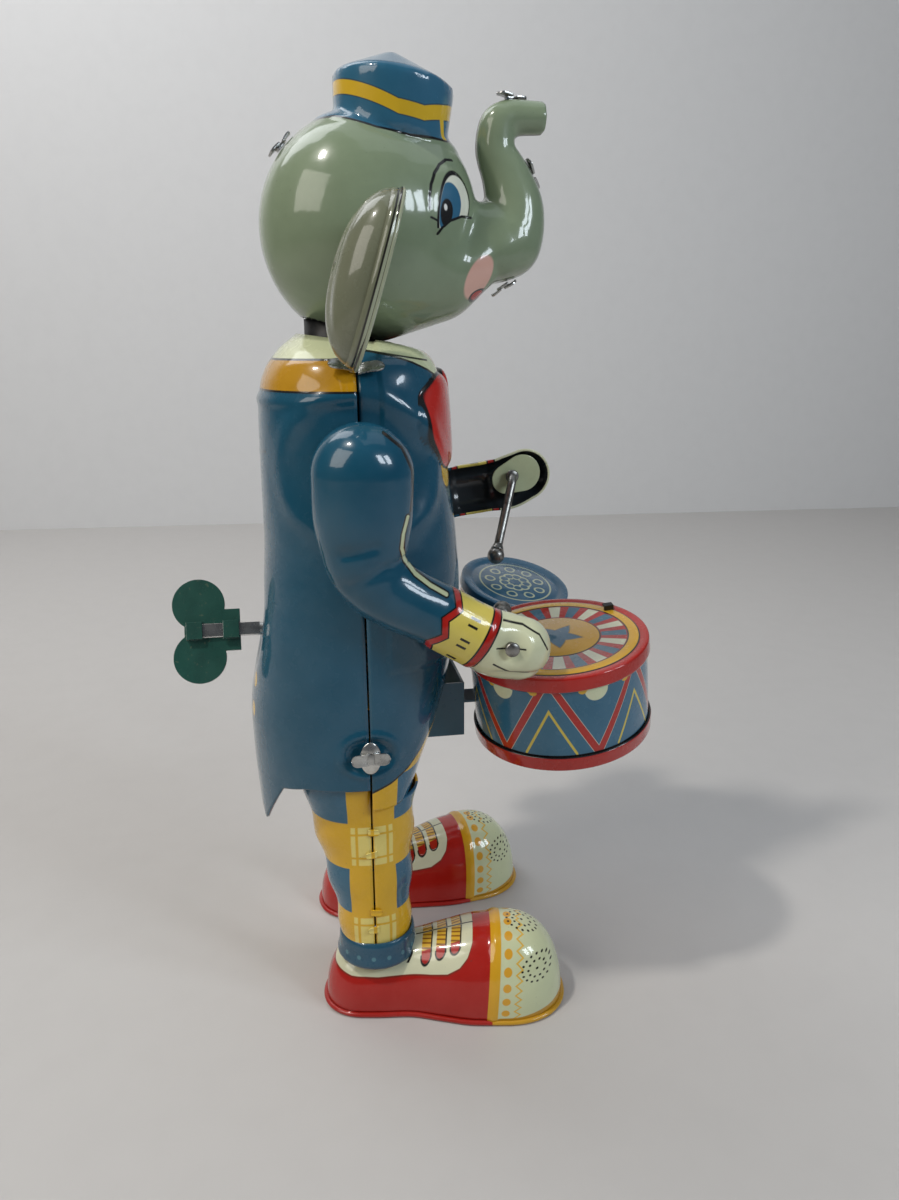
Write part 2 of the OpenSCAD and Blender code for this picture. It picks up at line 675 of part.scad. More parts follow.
// A stick: a level leg through the hand with a flat head, a thinner rod and a ball at its end.
ball_r = 2.2;
rod_d = 2.2;
stick_head = 0.8;
function along(a, b) = [0, acos((b - a)[2] / norm(b - a)), atan2((b - a)[1], (b - a)[0])];
module rod(a, b, d) {
    translate(a) rotate(along(a, b)) cylinder(d = d, h = norm(b - a), $fn = 24);
}
module drumstick(outer, elbow, tip) {
    past = unit(elbow - outer) * rod_d / 2;
    color(steel) {
        rod(outer, elbow + past, stick_d);
        rod(outer, outer + unit(elbow - outer) * stick_head, stick_d + 0.8);
        rod(elbow, tip, rod_d);
        translate(tip) sphere(r = ball_r, $fn = 32);
    }
}
left_hand = let (f = hand_f - seam_f, z = hand_z - shoulder_z, a = left_arm_lift)
    [seam_f + f * cos(a) - z * sin(a), shoulder_z + f * sin(a) + z * cos(a)];
right_ball = at(-6, 32, 90);
left_ball = at(19, 36, 97.2);
stick_end_x = 37.2;
elbow_x = 27.6;
module drumstick_right() {
    drumstick(at(-stick_end_x, hand_f, hand_z), at(-elbow_x, hand_f, hand_z), right_ball);
}
module drumstick_left() {
    drumstick(at(stick_end_x, left_hand[0], left_hand[1]),
        at(elbow_x, left_hand[0], left_hand[1]), left_ball);
}

// ---- Head ----
neck_z = 139;
neck_f = -3;
neck_tube_f = -3.2;
neck_r = 7.5;
// Forward distance, height and the three half sizes of each swelling of the skull.
skull_form = [[2.6, 173, 19.4, 21.6, 22.6], [12.5, 174, 15, 14.2, 19.4], [17, 165, 12, 11, 10.6]];
// Forward distance, height and radius of each ball along the trunk.
trunk_form = [[26, 170.5, 8.6], [33, 171.4, 8], [34.8, 177.6, 6.6], [33, 184, 5.2],
    [30.5, 189.5, 4.2], [31.3, 194, 4], [35.2, 195.4, 3.5], [41, 195.4, 3.2]];
module skull_ball(s, less) {
    translate(at(0, s[0], s[1])) scale([s[2] - less, s[3] - less, s[4] - less]) sphere(r = 1, $fn = 36);
}
module trunk_ball(b, less) {
    translate(at(0, b[0], b[1])) sphere(r = b[2] - less, $fn = 20);
}
module hat_body(less) {
    hull() {
        translate(at(0, 9.6, 190)) rotate([10, 0, 0]) scale([13.2 - less, 11 - less, 1])
            cylinder(r = 1, h = 1, $fn = 36);
        translate(at(0, 10, 201.2 - less)) rotate([5, 0, 0]) scale([13.8 - less, 12.2 - less, 1])
            cylinder(r = 1, h = 0.6, $fn = 36);
        translate(at(0, 10, 203.6 - less)) scale([6, 5, 1]) cylinder(r = 1, h = 0.6, $fn = 36);
    }
}
module head_body(less) {
    hull() for (s = skull_form) skull_ball(s, less);
    for (i = [0:len(trunk_form) - 2]) hull() {
        trunk_ball(trunk_form[i], less);
        trunk_ball(trunk_form[i + 1], less);
    }
    hull() {
        skull_ball(skull_form[2], less);
        trunk_ball(trunk_form[0], less);
    }
    hat_body(less);
}
// Forward distance and height of each clinched clip, and the way it faces.
clip_at = [[10, 204.3, 0], [-13.4, 188.6, 50], [34, 198.4, 2], [38, 184.4, -60], [32.4, 162.4, -146]];
// The left half, which is mirrored for the right.
module head_shell() {
    color(skin_grey) difference() {
        head_body(0);
        head_body(tin);
        translate([-59.85, -80, 140]) cube([60, 130, 80]);
        translate(at(0, neck_tube_f, 146)) cylinder(r = neck_r + 0.2, h = 12, $fn = 32);
        translate(at(0, 43, 195.4)) rotate([90, 0, 0]) cylinder(r = 2.6, h = 6, center = true, $fn = 24);
        clip_shapes(0.05);
    }
}
module head_shell_right() { mirror([1, 0, 0]) head_shell(); }
module head_shell_left() { head_shell(); }

ear_tilt = 17;
module ear_bowl(less) {
    scale([10.4 - less, 8.4 - less, 16.4 - less]) sphere(r = 1, $fn = 32);
}
module ear(side) {
    color(skin_grey) translate(at(side * 29.6, 1.8, 161.4)) rotate([ear_tilt, 0, 0]) difference() {
        union() {
            ear_bowl(0);
            for (i = [0:7]) hull() for (a = [45 * i, 45 * (i + 1)])
                translate([9.6 * cos(a), 0.4, 15.6 * sin(a)]) sphere(r = 0.9, $fn = 8);
        }
        ear_bowl(1);
        translate([-20, -40, -30]) cube([40, 40, 60]);
    }
}
module ear_right() { ear(-1); }
module ear_left() { ear(1); }

module clip_shapes(play) {
    for (c = clip_at) translate(at(0, c[0], c[1])) rotate([-c[2], 0, 0]) {
        translate([-2, -1.4, 0.1] - play * [1, 1, 1]) cube([4, 2.8, 0.5] + 2 * play * [1, 1, 1]);
        for (side = [-1, 1]) translate([side * 2.1 - 0.9, -1.9, 0.2] - play * [1, 1, 1])
            cube([1.8, 3.8, 0.5] + 2 * play * [1, 1, 1]);
    }
}
module head_clips() {
    color(steel) clip_shapes(0);
}

// A short black tube under the head, with a tongue that hangs on the neck pin.
module neck_post() {
    color(dark_steel) {
        translate(at(0, neck_tube_f, 147)) difference() {
            cylinder(r = neck_r, h = 8.5, $fn = 48);
            translate([0, 0, 0.6]) cylinder(r = neck_r - 0.6, h = 9, $fn = 48);
        }
        difference() {
            union() {
                translate(at(-2.4, neck_f + 3, neck_z)) cube([4.8, 6, 8]);
                translate(at(-2.4, neck_f, neck_z)) rotate([0, 90, 0]) cylinder(r = 3, h = 4.8, $fn = 32);
            }
            translate(at(-5, neck_f, neck_z)) rotate([0, 90, 0])
                cylinder(d = 2 + 2 * running_fit, h = 10, $fn = 32);
        }
    }
}
module neck_pin() {
    color(steel) translate(at(-4.6, neck_f, neck_z)) rotate([0, 90, 0]) cylinder(d = 2, h = 9.2, $fn = 32);
}
module neck_bracket() {
    color(steel) {
        translate([-4, -neck_f - 2.6, 129.5]) cube([8, 5.2, 0.8]);
        for (side = [-1, 1]) difference() {
            translate([side * 3.6 - 0.4, -neck_f - 2.6, 130.3]) cube([0.8, 5.2, 11.2]);
            translate(at(side * 3.6 - 1, neck_f, neck_z)) rotate([0, 90, 0]) cylinder(d = 2, h = 2, $fn = 32);
        }
    }
}

module placed() { translate([0, frame_y, 0]) children(); }

placed() body_front_shell();
placed() body_back_shell();
placed() leg_back_right();
placed() leg_back_left();
placed() shoe_right();
placed() shoe_left();
placed() sole_right();
placed() sole_left();
placed() shoulder_clips();
placed() hip_washers();
placed() hip_tabs();
placed() drum_bracket();
placed() big_drum_wall();
placed() big_drum_top();
placed() big_drum_bottom();
placed() big_drum_tab();
placed() small_drum_wall();
placed() small_drum_head();
placed() small_drum_bottom();
placed() motor_back_plate();
placed() motor_front_plate();
placed() motor_pillars();
placed() motor_feet();
placed() arm_bracket();
placed() neck_bracket();
placed() neck_pin();
placed() rocker_stud();
placed() mainspring();
placed() ratchet_click();
placed() winding_key();
placed() winding_arbor();
placed() great_wheel();
placed() ratchet_wheel();
placed() second_arbor();
placed() second_wheel();
placed() crank_arbor();
placed() crank_wheel();
placed() escape_arbor();
placed() escape_wheel();
placed() pallet();
placed() rocker();
placed() arm_shell_right();
placed() palm_right();
placed() shoulder_plate_right();
placed() arm_shaft_right();
placed() arm_lever_right();
placed() drumstick_right();
placed() arm_shell_left();
placed() palm_left();
placed() shoulder_plate_left();
placed() arm_shaft_left();
placed() arm_lever_left();
placed() drumstick_left();
placed() head_shell_right();
placed() head_shell_left();
placed() ear_right();
placed() ear_left();
placed() head_clips();
placed() neck_post();
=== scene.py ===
"""Looks of a wind-up tin elephant drummer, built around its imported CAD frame."""
import math

import bmesh
import bpy
import numpy as np
from mathutils import Matrix, Vector

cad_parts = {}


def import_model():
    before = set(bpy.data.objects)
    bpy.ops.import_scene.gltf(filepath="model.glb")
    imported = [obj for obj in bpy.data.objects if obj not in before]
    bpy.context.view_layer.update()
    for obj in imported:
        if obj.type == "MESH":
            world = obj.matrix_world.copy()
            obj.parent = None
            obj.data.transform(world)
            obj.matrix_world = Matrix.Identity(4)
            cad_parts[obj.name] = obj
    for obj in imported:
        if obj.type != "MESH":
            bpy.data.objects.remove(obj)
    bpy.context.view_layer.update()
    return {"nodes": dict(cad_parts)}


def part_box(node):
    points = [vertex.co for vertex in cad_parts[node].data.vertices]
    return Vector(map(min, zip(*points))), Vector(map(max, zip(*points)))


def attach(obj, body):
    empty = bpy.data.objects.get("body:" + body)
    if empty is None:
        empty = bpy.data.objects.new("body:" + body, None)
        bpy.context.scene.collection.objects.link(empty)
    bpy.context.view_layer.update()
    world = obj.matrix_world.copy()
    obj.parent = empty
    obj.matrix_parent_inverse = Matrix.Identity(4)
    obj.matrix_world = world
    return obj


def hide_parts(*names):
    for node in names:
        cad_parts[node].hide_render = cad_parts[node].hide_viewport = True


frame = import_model()

# ---- The frame: millimetres across, forward of the ankles, and up ----
SEAM_F = -1.5
clip_low, clip_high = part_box("shoulder_clips")
ANKLE_Y = (clip_low.y + clip_high.y) * 500 + SEAM_F
TIN = 0.6


def world(points):
    """Points given as across, forward and up in millimetres, in the frame's metres."""
    p = np.asarray(points, float).reshape(-1, 3)
    return np.stack([p[:, 0], ANKLE_Y - p[:, 1], p[:, 2]], 1) / 1000


def placing(origin, turns=(0, 0, 0)):
    """A place for a piece made about its own origin: turned about X, Y and Z in degrees, then moved."""
    spin = np.array(Matrix.Rotation(math.radians(turns[2]), 3, "Z")
                    @ Matrix.Rotation(math.radians(turns[1]), 3, "Y")
                    @ Matrix.Rotation(math.radians(turns[0]), 3, "X"))

    def place(points):
        p = np.asarray(points, float).reshape(-1, 3).copy()
        p[:, 1] *= -1
        p = p @ spin.T
        p[:, 1] *= -1
        return world(p + np.array(origin))
    return place


def smooth_line(knots, values, t):
    """A smooth curve through the knots that never overshoots them."""
    k, v, t = np.asarray(knots, float), np.asarray(values, float), np.asarray(t, float)
    d = np.diff(v) / np.diff(k)
    slope = np.zeros_like(v)
    same = d[:-1] * d[1:] > 0
    slope[1:-1][same] = 2 * d[:-1][same] * d[1:][same] / (d[:-1][same] + d[1:][same])
    slope[0], slope[-1] = d[0], d[-1]
    i = np.clip(np.searchsorted(k, t) - 1, 0, len(k) - 2)
    h = k[i + 1] - k[i]
    s = np.clip((t - k[i]) / h, 0, 1)
    return ((1 + 2 * s) * (1 - s) ** 2 * v[i] + s * (1 - s) ** 2 * h * slope[i]
            + s * s * (3 - 2 * s) * v[i + 1] + s * s * (s - 1) * h * slope[i + 1])


def power(v, e):
    return np.sign(v) * np.abs(v) ** e


def bump(distance, width):
    """1 at distance 0 that fades out smoothly by about twice the width."""
    return np.exp(-(distance / width) ** 2)


def dome(distance, width):
    """0 outside an outline (distance 0), rising smoothly to 1 at width inside it."""
    s = np.clip(-distance / width, 0, 1)
    return np.sqrt(np.clip(1 - (1 - s) ** 2, 0, 1))


def oval(u, v, cu, cv, ru, rv, turn=0.0):
    """About the distance outside an oval; negative inside it."""
    a = math.radians(turn)
    du, dv = u - cu, v - cv
    p, q = du * math.cos(a) + dv * math.sin(a), dv * math.cos(a) - du * math.sin(a)
    return (np.sqrt((p / ru) ** 2 + (q / rv) ** 2) - 1) * min(ru, rv)


def normals(g):
    """The normals of a grid of points, rows by columns."""
    return unit(np.cross(np.gradient(g, axis=1), np.gradient(g, axis=0)))


def unit(v):
    return v / np.maximum(np.linalg.norm(v, axis=-1, keepdims=True), 1e-9)


# ---- Meshes ----
def mesh_object(name, points, faces, place=world):
    """A smooth mesh at its place; its attribute "print" keeps the points it was designed with."""
    points = np.asarray(points, float).reshape(-1, 3)
    mesh = bpy.data.meshes.new(name)
    mesh.from_pydata(place(points).tolist(), [], faces)
    mesh.validate()
    mesh.shade_smooth()
    layer = mesh.attributes.new("print", "FLOAT_VECTOR", "POINT")
    layer.data.foreach_set("vector", points.astype(np.float32).ravel())
    obj = bpy.data.objects.new(name, mesh)
    bpy.context.scene.collection.objects.link(obj)
    return obj


def grid_faces(rows, cols, wrap=False):
    """The four-sided faces of a grid of points; wrap joins its last column to its first."""
    faces = []
    for i in range(rows - 1):
        for j in range(cols if wrap else cols - 1):
            a, b = i * cols + j, i * cols + (j + 1) % cols
            faces.append((a, b, b + cols, a + cols))
    return faces


def sheet(name, grid, place=world, wrap=False, thick=TIN):
    """A sheet of tin whose outer face is the grid."""
    rows, cols = grid.shape[:2]
    obj = mesh_object(name, grid, grid_faces(rows, cols, wrap), place)
    outward(obj)
    if thick:
        solid = obj.modifiers.new("tin", "SOLIDIFY")
        solid.thickness = thick / 1000
        solid.offset = -1
        solid.use_even_offset = True
    return obj


def outward(obj):
    """Turns the faces of a piece away from its middle, which suits every domed piece here."""
    bm = bmesh.new()
    bm.from_mesh(obj.data)
    bm.normal_update()
    middle = sum((v.co for v in bm.verts), Vector()) / len(bm.verts)
    if sum(f.calc_area() * f.normal.dot(f.calc_center_median() - middle) for f in bm.faces) < 0:
        bmesh.ops.reverse_faces(bm, faces=bm.faces)
    bm.to_mesh(obj.data)
    bm.free()


def rounded(obj, width, segments=2):
    """Rounds the sharp edges of a piece, as pressing and plating do."""
    bevel = obj.modifiers.new("round", "BEVEL")
    bevel.width = width / 1000
    bevel.segments = segments
    bevel.limit_method = "ANGLE"
    bevel.angle_limit = math.radians(35)
    bevel.harden_normals = False
    return obj


def sweep(path, radius, sides=20):
    """A round rod along a path; radius may change along it."""
    path = np.asarray(path, float)
    radius = np.broadcast_to(radius, len(path))
    ahead = unit(np.gradient(path, axis=0))
    side = unit(np.cross(ahead[0], [0.3, 0.2, 1.0]))
    rows = []
    for p, a, r in zip(path, ahead, radius):
        side = unit(side - a * side.dot(a))
        other = np.cross(a, side)
        t = np.linspace(0, 2 * math.pi, sides, endpoint=False)[:, None]
        rows.append(p + r * (np.cos(t) * side + np.sin(t) * other))
    faces = grid_faces(len(rows), sides, wrap=True)
    last = (len(rows) - 1) * sides
    faces += [tuple(range(sides))[::-1], tuple(range(last, last + sides))]
    return np.concatenate(rows), faces


def lathe(profile, steps=128):
    """A turned shape: profile points are radius and height."""
    t = np.linspace(0, 2 * math.pi, steps, endpoint=False)
    p = np.asarray(profile, float)
    return np.stack([p[:, :1] * np.cos(t), p[:, :1] * np.sin(t), np.repeat(p[:, 1:], steps, 1)], 2)


def merged(parts):
    """Several (points, faces) pairs as one."""
    points, faces, shift = [], [], 0
    for p, f in parts:
        p = np.asarray(p, float).reshape(-1, 3)
        points.append(p)
        faces += [tuple(i + shift for i in face) for face in f]
        shift += len(p)
    return np.concatenate(points), faces


def settle(obj, body, slot, material, *nodes):
    """Gives a piece its body and its material, and hides the CAD nodes that it stands for."""
    obj.data.materials.clear()
    obj.data.materials.append(material)
    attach(obj, body)
    if nodes:
        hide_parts(*nodes)
    return obj


# ---- Printed and plated surfaces ----
def linear(hex_colour):
    """A colour given as six hexadecimal digits of sRGB."""
    c = [int(hex_colour[i:i + 2], 16) / 255 for i in (0, 2, 4)]
    return [v / 12.92 if v <= 0.04045 else ((v + 0.055) / 1.055) ** 2.4 for v in c] + [1.0]


class Num:
    """A number worked out by shader nodes, which adds up like a plain one."""

    def __init__(self, ink, socket):
        self.ink, self.socket = ink, socket

    def __add__(self, other):
        return self.ink.math("ADD", self, other)

    __radd__ = __add__

    def __sub__(self, other):
        return self.ink.math("SUBTRACT", self, other)

    def __rsub__(self, other):
        return self.ink.math("SUBTRACT", other, self)

    def __mul__(self, other):
        return self.ink.math("MULTIPLY", self, other)

    __rmul__ = __mul__

    def __truediv__(self, other):
        return self.ink.math("DIVIDE", self, other)

    def __abs__(self):
        return self.ink.math("ABSOLUTE", self)


class Ink:
    """One material: a glossy coat over colours that are laid one on another by masks."""

    def __init__(self, name, base, metal=0.0, rough=0.3, coat=1.0, source="print"):
        self.material = bpy.data.materials.new(name)
        self.material.use_nodes = True
        self.nodes = self.material.node_tree.nodes
        self.links = self.material.node_tree.links
        self.shader = self.nodes["Principled BSDF"]
        self.shader.inputs["Metallic"].default_value = metal
        self.shader.inputs["Coat Weight"].default_value = coat * 0.8
        self.shader.inputs["Coat Roughness"].default_value = 0.06
        self.shader.inputs["Specular IOR Level"].default_value = 0.2
        self.rough = rough
        self.colour = linear(base)
        if source == "print":
            at = self.nodes.new("ShaderNodeAttribute")
            at.attribute_name = "print"
            self.place = at.outputs["Vector"]
            self.x, self.f, self.z = self.split(self.place)
        else:
            at = self.nodes.new("ShaderNodeTexCoord")
            x, y, z = self.split(at.outputs["Object"])
            self.x, self.f, self.z = x * 1000, ANKLE_Y - y * 1000, z * 1000
            joined = self.nodes.new("ShaderNodeCombineXYZ")
            for socket, value in zip(joined.inputs, (self.x, self.f, self.z)):
                self.links.new(value.socket, socket)
            self.place = joined.outputs[0]

    def split(self, vector):
        node = self.nodes.new("ShaderNodeSeparateXYZ")
        self.links.new(vector, node.inputs[0])
        return [Num(self, s) for s in node.outputs]

    def math(self, kind, *values, clamp=False):
        node = self.nodes.new("ShaderNodeMath")
        node.operation = kind
        node.use_clamp = clamp
        for socket, value in zip(node.inputs, values):
            if isinstance(value, Num):
                self.links.new(value.socket, socket)
            else:
                socket.default_value = value
        return Num(self, node.outputs[0])

    def least(self, *values):
        total = values[0]
        for v in values[1:]:
            total = self.math("MINIMUM", total, v)
        return total

    def most(self, *values):
        total = values[0]
        for v in values[1:]:
            total = self.math("MAXIMUM", total, v)
        return total

    def drawn(self, distance, colour, where, rim=0.42):
        """Fills an outline, whose inside has a negative distance, and inks its edge in black."""
        self.lay(self.below(distance, 0) * where, colour)
        self.lay(self.line(distance, rim) * where, BLACK)

    def above(self, value, edge, soft=0.14):
        """1 where value is over the edge, 0 under it, with a soft step between."""
        if isinstance(edge, Num):
            value, edge = value - edge, 0
        return self.math("MULTIPLY_ADD", value, 1 / soft, 0.5 - edge / soft, clamp=True)

    def below(self, value, edge, soft=0.14):
        if isinstance(edge, Num):
            value, edge = value - edge, 0
        return self.math("MULTIPLY_ADD", value, -1 / soft, 0.5 + edge / soft, clamp=True)

    def between(self, value, low, high, soft=0.14):
        return self.above(value, low, soft) * self.below(value, high, soft)

    def line(self, distance, width):
        return self.below(abs(distance), width / 2, 0.16)

    def length(self, u, v):
        return self.math("SQRT", u * u + v * v)

    def oval(self, u, v, cu, cv, ru, rv, turn=0.0):
        a = math.radians(turn)
        du, dv = u - cu, v - cv
        p = (du * math.cos(a) + dv * math.sin(a)) / ru
        q = (dv * math.cos(a) - du * math.sin(a)) / rv
        return (self.length(p, q) - 1) * min(ru, rv)

    def path(self, u, v, points):
        """The distance to a line through the points."""
        found = []
        for (au, av), (bu, bv) in zip(points, points[1:]):
            eu, ev = bu - au, bv - av
            share = 1 / (eu * eu + ev * ev)
            along = self.math("MULTIPLY", (u - au) * eu + (v - av) * ev, share, clamp=True)
            found.append(self.length(u - au - along * eu, v - av - along * ev))
        return self.least(*found)

    def through(self, value, points):
        """A height that follows straight lines through the points."""
        total = points[0][1]
        for (a, va), (b, vb) in zip(points, points[1:]):
            part = self.math("MULTIPLY", value - a, 1 / (b - a), clamp=True)
            total = part * (vb - va) + total
        return total

    def wave(self, value, period, centre=0.0):
        """The distance from the nearest of the places that repeat with a period."""
        return abs(self.math("WRAP", value - centre, period / 2, -period / 2))

    def cell(self, value, period, centre=0.0):
        """0 or 1 by turns along value."""
        return self.math("MODULO", self.math("FLOOR", (value - centre) / period + 1000), 2)

    def lay(self, mask, colour):
        node = self.nodes.new("ShaderNodeMix")
        node.data_type = "RGBA"
        self.links.new(mask.socket, node.inputs[0])
        for index, c in ((6, self.colour), (7, linear(colour) if isinstance(colour, str) else colour)):
            if isinstance(c, list):
                node.inputs[index].default_value = c
            else:
                self.links.new(c, node.inputs[index])
        self.colour = node.outputs[2]

    def noise(self, scale, detail=3.0, rough=0.55):
        node = self.nodes.new("ShaderNodeTexNoise")
        node.inputs["Scale"].default_value = scale
        node.inputs["Detail"].default_value = detail
        node.inputs["Roughness"].default_value = rough
        self.links.new(self.place, node.inputs["Vector"])
        return Num(self, node.outputs[0])

    def done(self, dents=0.12, specks=0.5, shade=0.06, speck_colour="3a3a34"):
        """Adds uneven colour, small specks and scratches, uneven gloss and shallow dents."""
        uneven = self.noise(0.09, 4)
        self.lay(self.between(uneven, 0.52, 0.75, 0.3) * shade * 0.2, "ffffff")
        self.lay(self.between(uneven, 0.2, 0.42, 0.3) * shade * 1.5, "1a1a1a")
        fine = self.noise(1.7, 2)
        patchy = self.noise(0.16, 2)
        self.lay(self.above(fine, 0.74, 0.03) * self.above(patchy, 0.55, 0.1) * specks, speck_colour)
        gloss = self.noise(0.5, 5) * 0.16 + (self.rough - 0.08)
        self.links.new(gloss.socket, self.shader.inputs["Roughness"])
        if isinstance(self.colour, list):
            self.shader.inputs["Base Color"].default_value = self.colour
        else:
            self.links.new(self.colour, self.shader.inputs["Base Color"])
        relief = self.noise(0.11, 2) * dents + self.noise(2.6, 2) * 0.004
        node = self.nodes.new("ShaderNodeBump")
        node.inputs["Strength"].default_value = 1.0
        node.inputs["Distance"].default_value = 0.001
        self.links.new(relief.socket, node.inputs["Height"])
        for socket in ("Normal", "Coat Normal"):
            self.links.new(node.outputs[0], self.shader.inputs[socket])
        return self.material


BLUE, YELLOW, CREAM = "0f5069", "dfae1c", "d0d6ac"
RED, BLACK, GREY = "b01b10", "0c0d0e", "849478"

# ---- Coat and trousers ----
COAT_Z = [53, 60, 68, 78, 88, 98, 110, 123, 135, 142, 146, 149, 151]
COAT_W = [28.4, 28.4, 28.1, 27.7, 27.2, 26.7, 26.1, 25.8, 25.6, 24.6, 22.6, 18.6, 13.5]
COAT_FRONT = [10.2, 12.9, 16.2, 19, 20.7, 21.4, 20.7, 19.2, 18.6, 18, 16.8, 14.6, 11.5]
COAT_BACK = [26.2, 26.8, 27, 26, 24.4, 22.7, 21.7, 21.6, 21.4, 20.6, 19, 16.4, 12.5]
SHOULDER = (SEAM_F, 126.0)
HIP = (SEAM_F, 66.0)
KEY_Z = 87.0


def coat_grid(side, rows=150, cols=140, hem=None):
    z = np.linspace(COAT_Z[0], COAT_Z[-1], rows)
    w = smooth_line(COAT_Z, COAT_W, z)[:, None]
    depth = smooth_line(COAT_Z, COAT_FRONT if side > 0 else COAT_BACK, z)[:, None]
    t = np.linspace(math.pi, 0, cols)[None, :]
    x = w * power(np.cos(t), 2 / 2.4)
    f = SEAM_F + side * (0.2 + (depth + side * SEAM_F * -1 - 0.2) * power(np.sin(t), 2 / 2.4))
    top = np.clip((z - 147) / 4, 0, 1)[:, None] ** 2
    zz = z[:, None] - side * 1.4 * top * np.sin(t)
    if hem is not None:
        low = np.clip((68 - z) / 15, 0, 1)[:, None]
        zz = zz - hem(t) * low ** 1.5
    return np.stack([x + 0 * t, f, zz + 0 * t], 2)


def raise_by(grid, height):
    """Moves each point of a domed grid outwards by its own height."""
    n = normals(grid)
    centre = grid.reshape(-1, 3).mean(0)
    if (n * (grid - centre)).sum() < 0:
        n = -n
    return grid + n * height[..., None]


def hip_dimple(f, z):
    """The pressed oval round a hip washer."""
    edge = oval(f, z, HIP[0], HIP[1], 5.6, 4.2)
    return 0.4 * bump(edge - 0.5, 0.7) - 0.8 * bump(np.maximum(edge + 1.3, 0), 0.8)


INK_LINE, BOW_RED = 0.42, "c62419"
KNOT = (0, 141, 3.4, 4.2)
BOW = [(-12.6, 134.6, 10.2, 9.8, -12), (12.2, 136.4, 9.8, 9.7, 12)]


def coat_front():
    g = coat_grid(1)
    x, f, z = g[..., 0], g[..., 1], g[..., 2]
    lift = np.zeros_like(x)
    for lobe in BOW:
        lift = np.maximum(lift, 1.5 * dome(oval(x, z, *lobe), 3) * (f > 5))
    lift = np.maximum(lift, 2.1 * dome(oval(x, z, *KNOT), 2) * (f > 5))
    lapel = np.abs(x) - (2.2 + np.clip((z - 104) / 24, 0, 1) * 9)
    lift += 0.45 / (1 + np.exp(-lapel * 3)) * (f > 3) * (z > 84) * (lift < 0.1)
    ring = np.hypot(f - SHOULDER[0], z - SHOULDER[1]) - 15.5
    side = np.clip((np.abs(x) - 14) / 6, 0, 1)
    lift += 0.75 * bump(ring, 2.2) * side * np.clip((z - 108) / 8, 0, 1)
    lift -= 0.7 * bump(ring + 5, 3) * side
    lift += hip_dimple(f, z) * side
    for x0 in (-1, 1):
        edge = np.hypot(x - x0 * 22.5, z - 141.5)
        lift -= 0.7 * bump(edge, 3.6) * (f > SEAM_F)
    return raise_by(g, lift)


def tail_hem(t):
    """How far the coat's hem hangs below the waist line around the back; the sides are higher."""
    off = np.abs(np.degrees(t) - 90)
    return np.interp(off, [0, 22, 44, 60, 90], [2.4, 8, -3.5, -5, -5])


def coat_back():
    g = coat_grid(-1, hem=tail_hem)
    x, f, z = g[..., 0], g[..., 1], g[..., 2]
    side = np.clip((np.abs(x) - 14) / 6, 0, 1)
    lift = -2.4 * bump(np.maximum(np.hypot(x, (z - KEY_Z - 1) * 0.85) - 3, 0), 4.6) * (f < -10)
    lift += 0.5 * bump(z - 140.4 - 0.06 * f, 1.2)
    crease = np.abs(x) - 0.6
    lift -= 0.8 * bump(np.maximum(crease, 0), 0.8) * (f < -10) * np.clip((70 - z) / 8, 0, 1)
    lift += hip_dimple(f, z) * side
    ring = np.hypot(f - SHOULDER[0], z - SHOULDER[1]) - 15.5
    lift += 0.6 * bump(ring, 2.2) * side * np.clip((z - 108) / 8, 0, 1)
    return raise_by(g, lift)


LEG_Z = [12.5, 24, 36, 48, 54]
LEG_X = [19.5, 18.5, 16.9, 15, 14.2]
LEG_W = [7.9, 8.7, 10, 11.6, 12.6]
LEG_FRONT = [7.2, 7.6, 8.2, 9.2, 10]
LEG_BACK = [8.4, 9.6, 12, 14.8, 16]


def leg_grid(side, dir, top, rows=60, cols=64):
    z = np.linspace(LEG_Z[0], top, rows)
    w = smooth_line(LEG_Z, LEG_W, z)[:, None]
    depth = smooth_line(LEG_Z, LEG_FRONT if dir > 0 else LEG_BACK, z)[:, None] + dir * 1.5 - 0.2
    t = np.linspace(math.pi, 0, cols)[None, :]
    x = side * smooth_line(LEG_Z, LEG_X, z)[:, None] + w * power(np.cos(t), 2 / 2.2)
    f = SEAM_F + dir * (0.2 + depth * power(np.sin(t), 2 / 2.2))
    g = np.stack([x, f, z[:, None] + 0 * t], 2)
    fold = 0.35 * np.sin(g[..., 2] * 0.55 + 1.4 * g[..., 0] / 8) * np.sin(t)
    return raise_by(g, fold * np.clip((z[:, None] - 16) / 6, 0, 1))


def cut(obj, points, faces):
    """Cuts a hole shaped by a closed mesh, which isn't kept."""
    tool = mesh_object(obj.name + "_tool", points, faces)
    outward(tool)
    hole = obj.modifiers.new("hole", "BOOLEAN")
    hole.object = tool
    hole.solver = "EXACT"
    bpy.context.view_layer.update()
    ready = bpy.data.meshes.new_from_object(obj.evaluated_get(bpy.context.evaluated_depsgraph_get()))
    obj.modifiers.clear()
    obj.data = ready
    bpy.data.objects.remove(tool)


def block(x, f, z):
    """A box between pairs of limits."""
    corners = [(a, b, c) for a in x for b in f for c in z]
    faces = [(0, 1, 3, 2), (4, 6, 7, 5), (0, 4, 5, 1), (2, 3, 7, 6), (0, 2, 6, 4), (1, 5, 7, 3)]
    return np.array(corners, float), faces


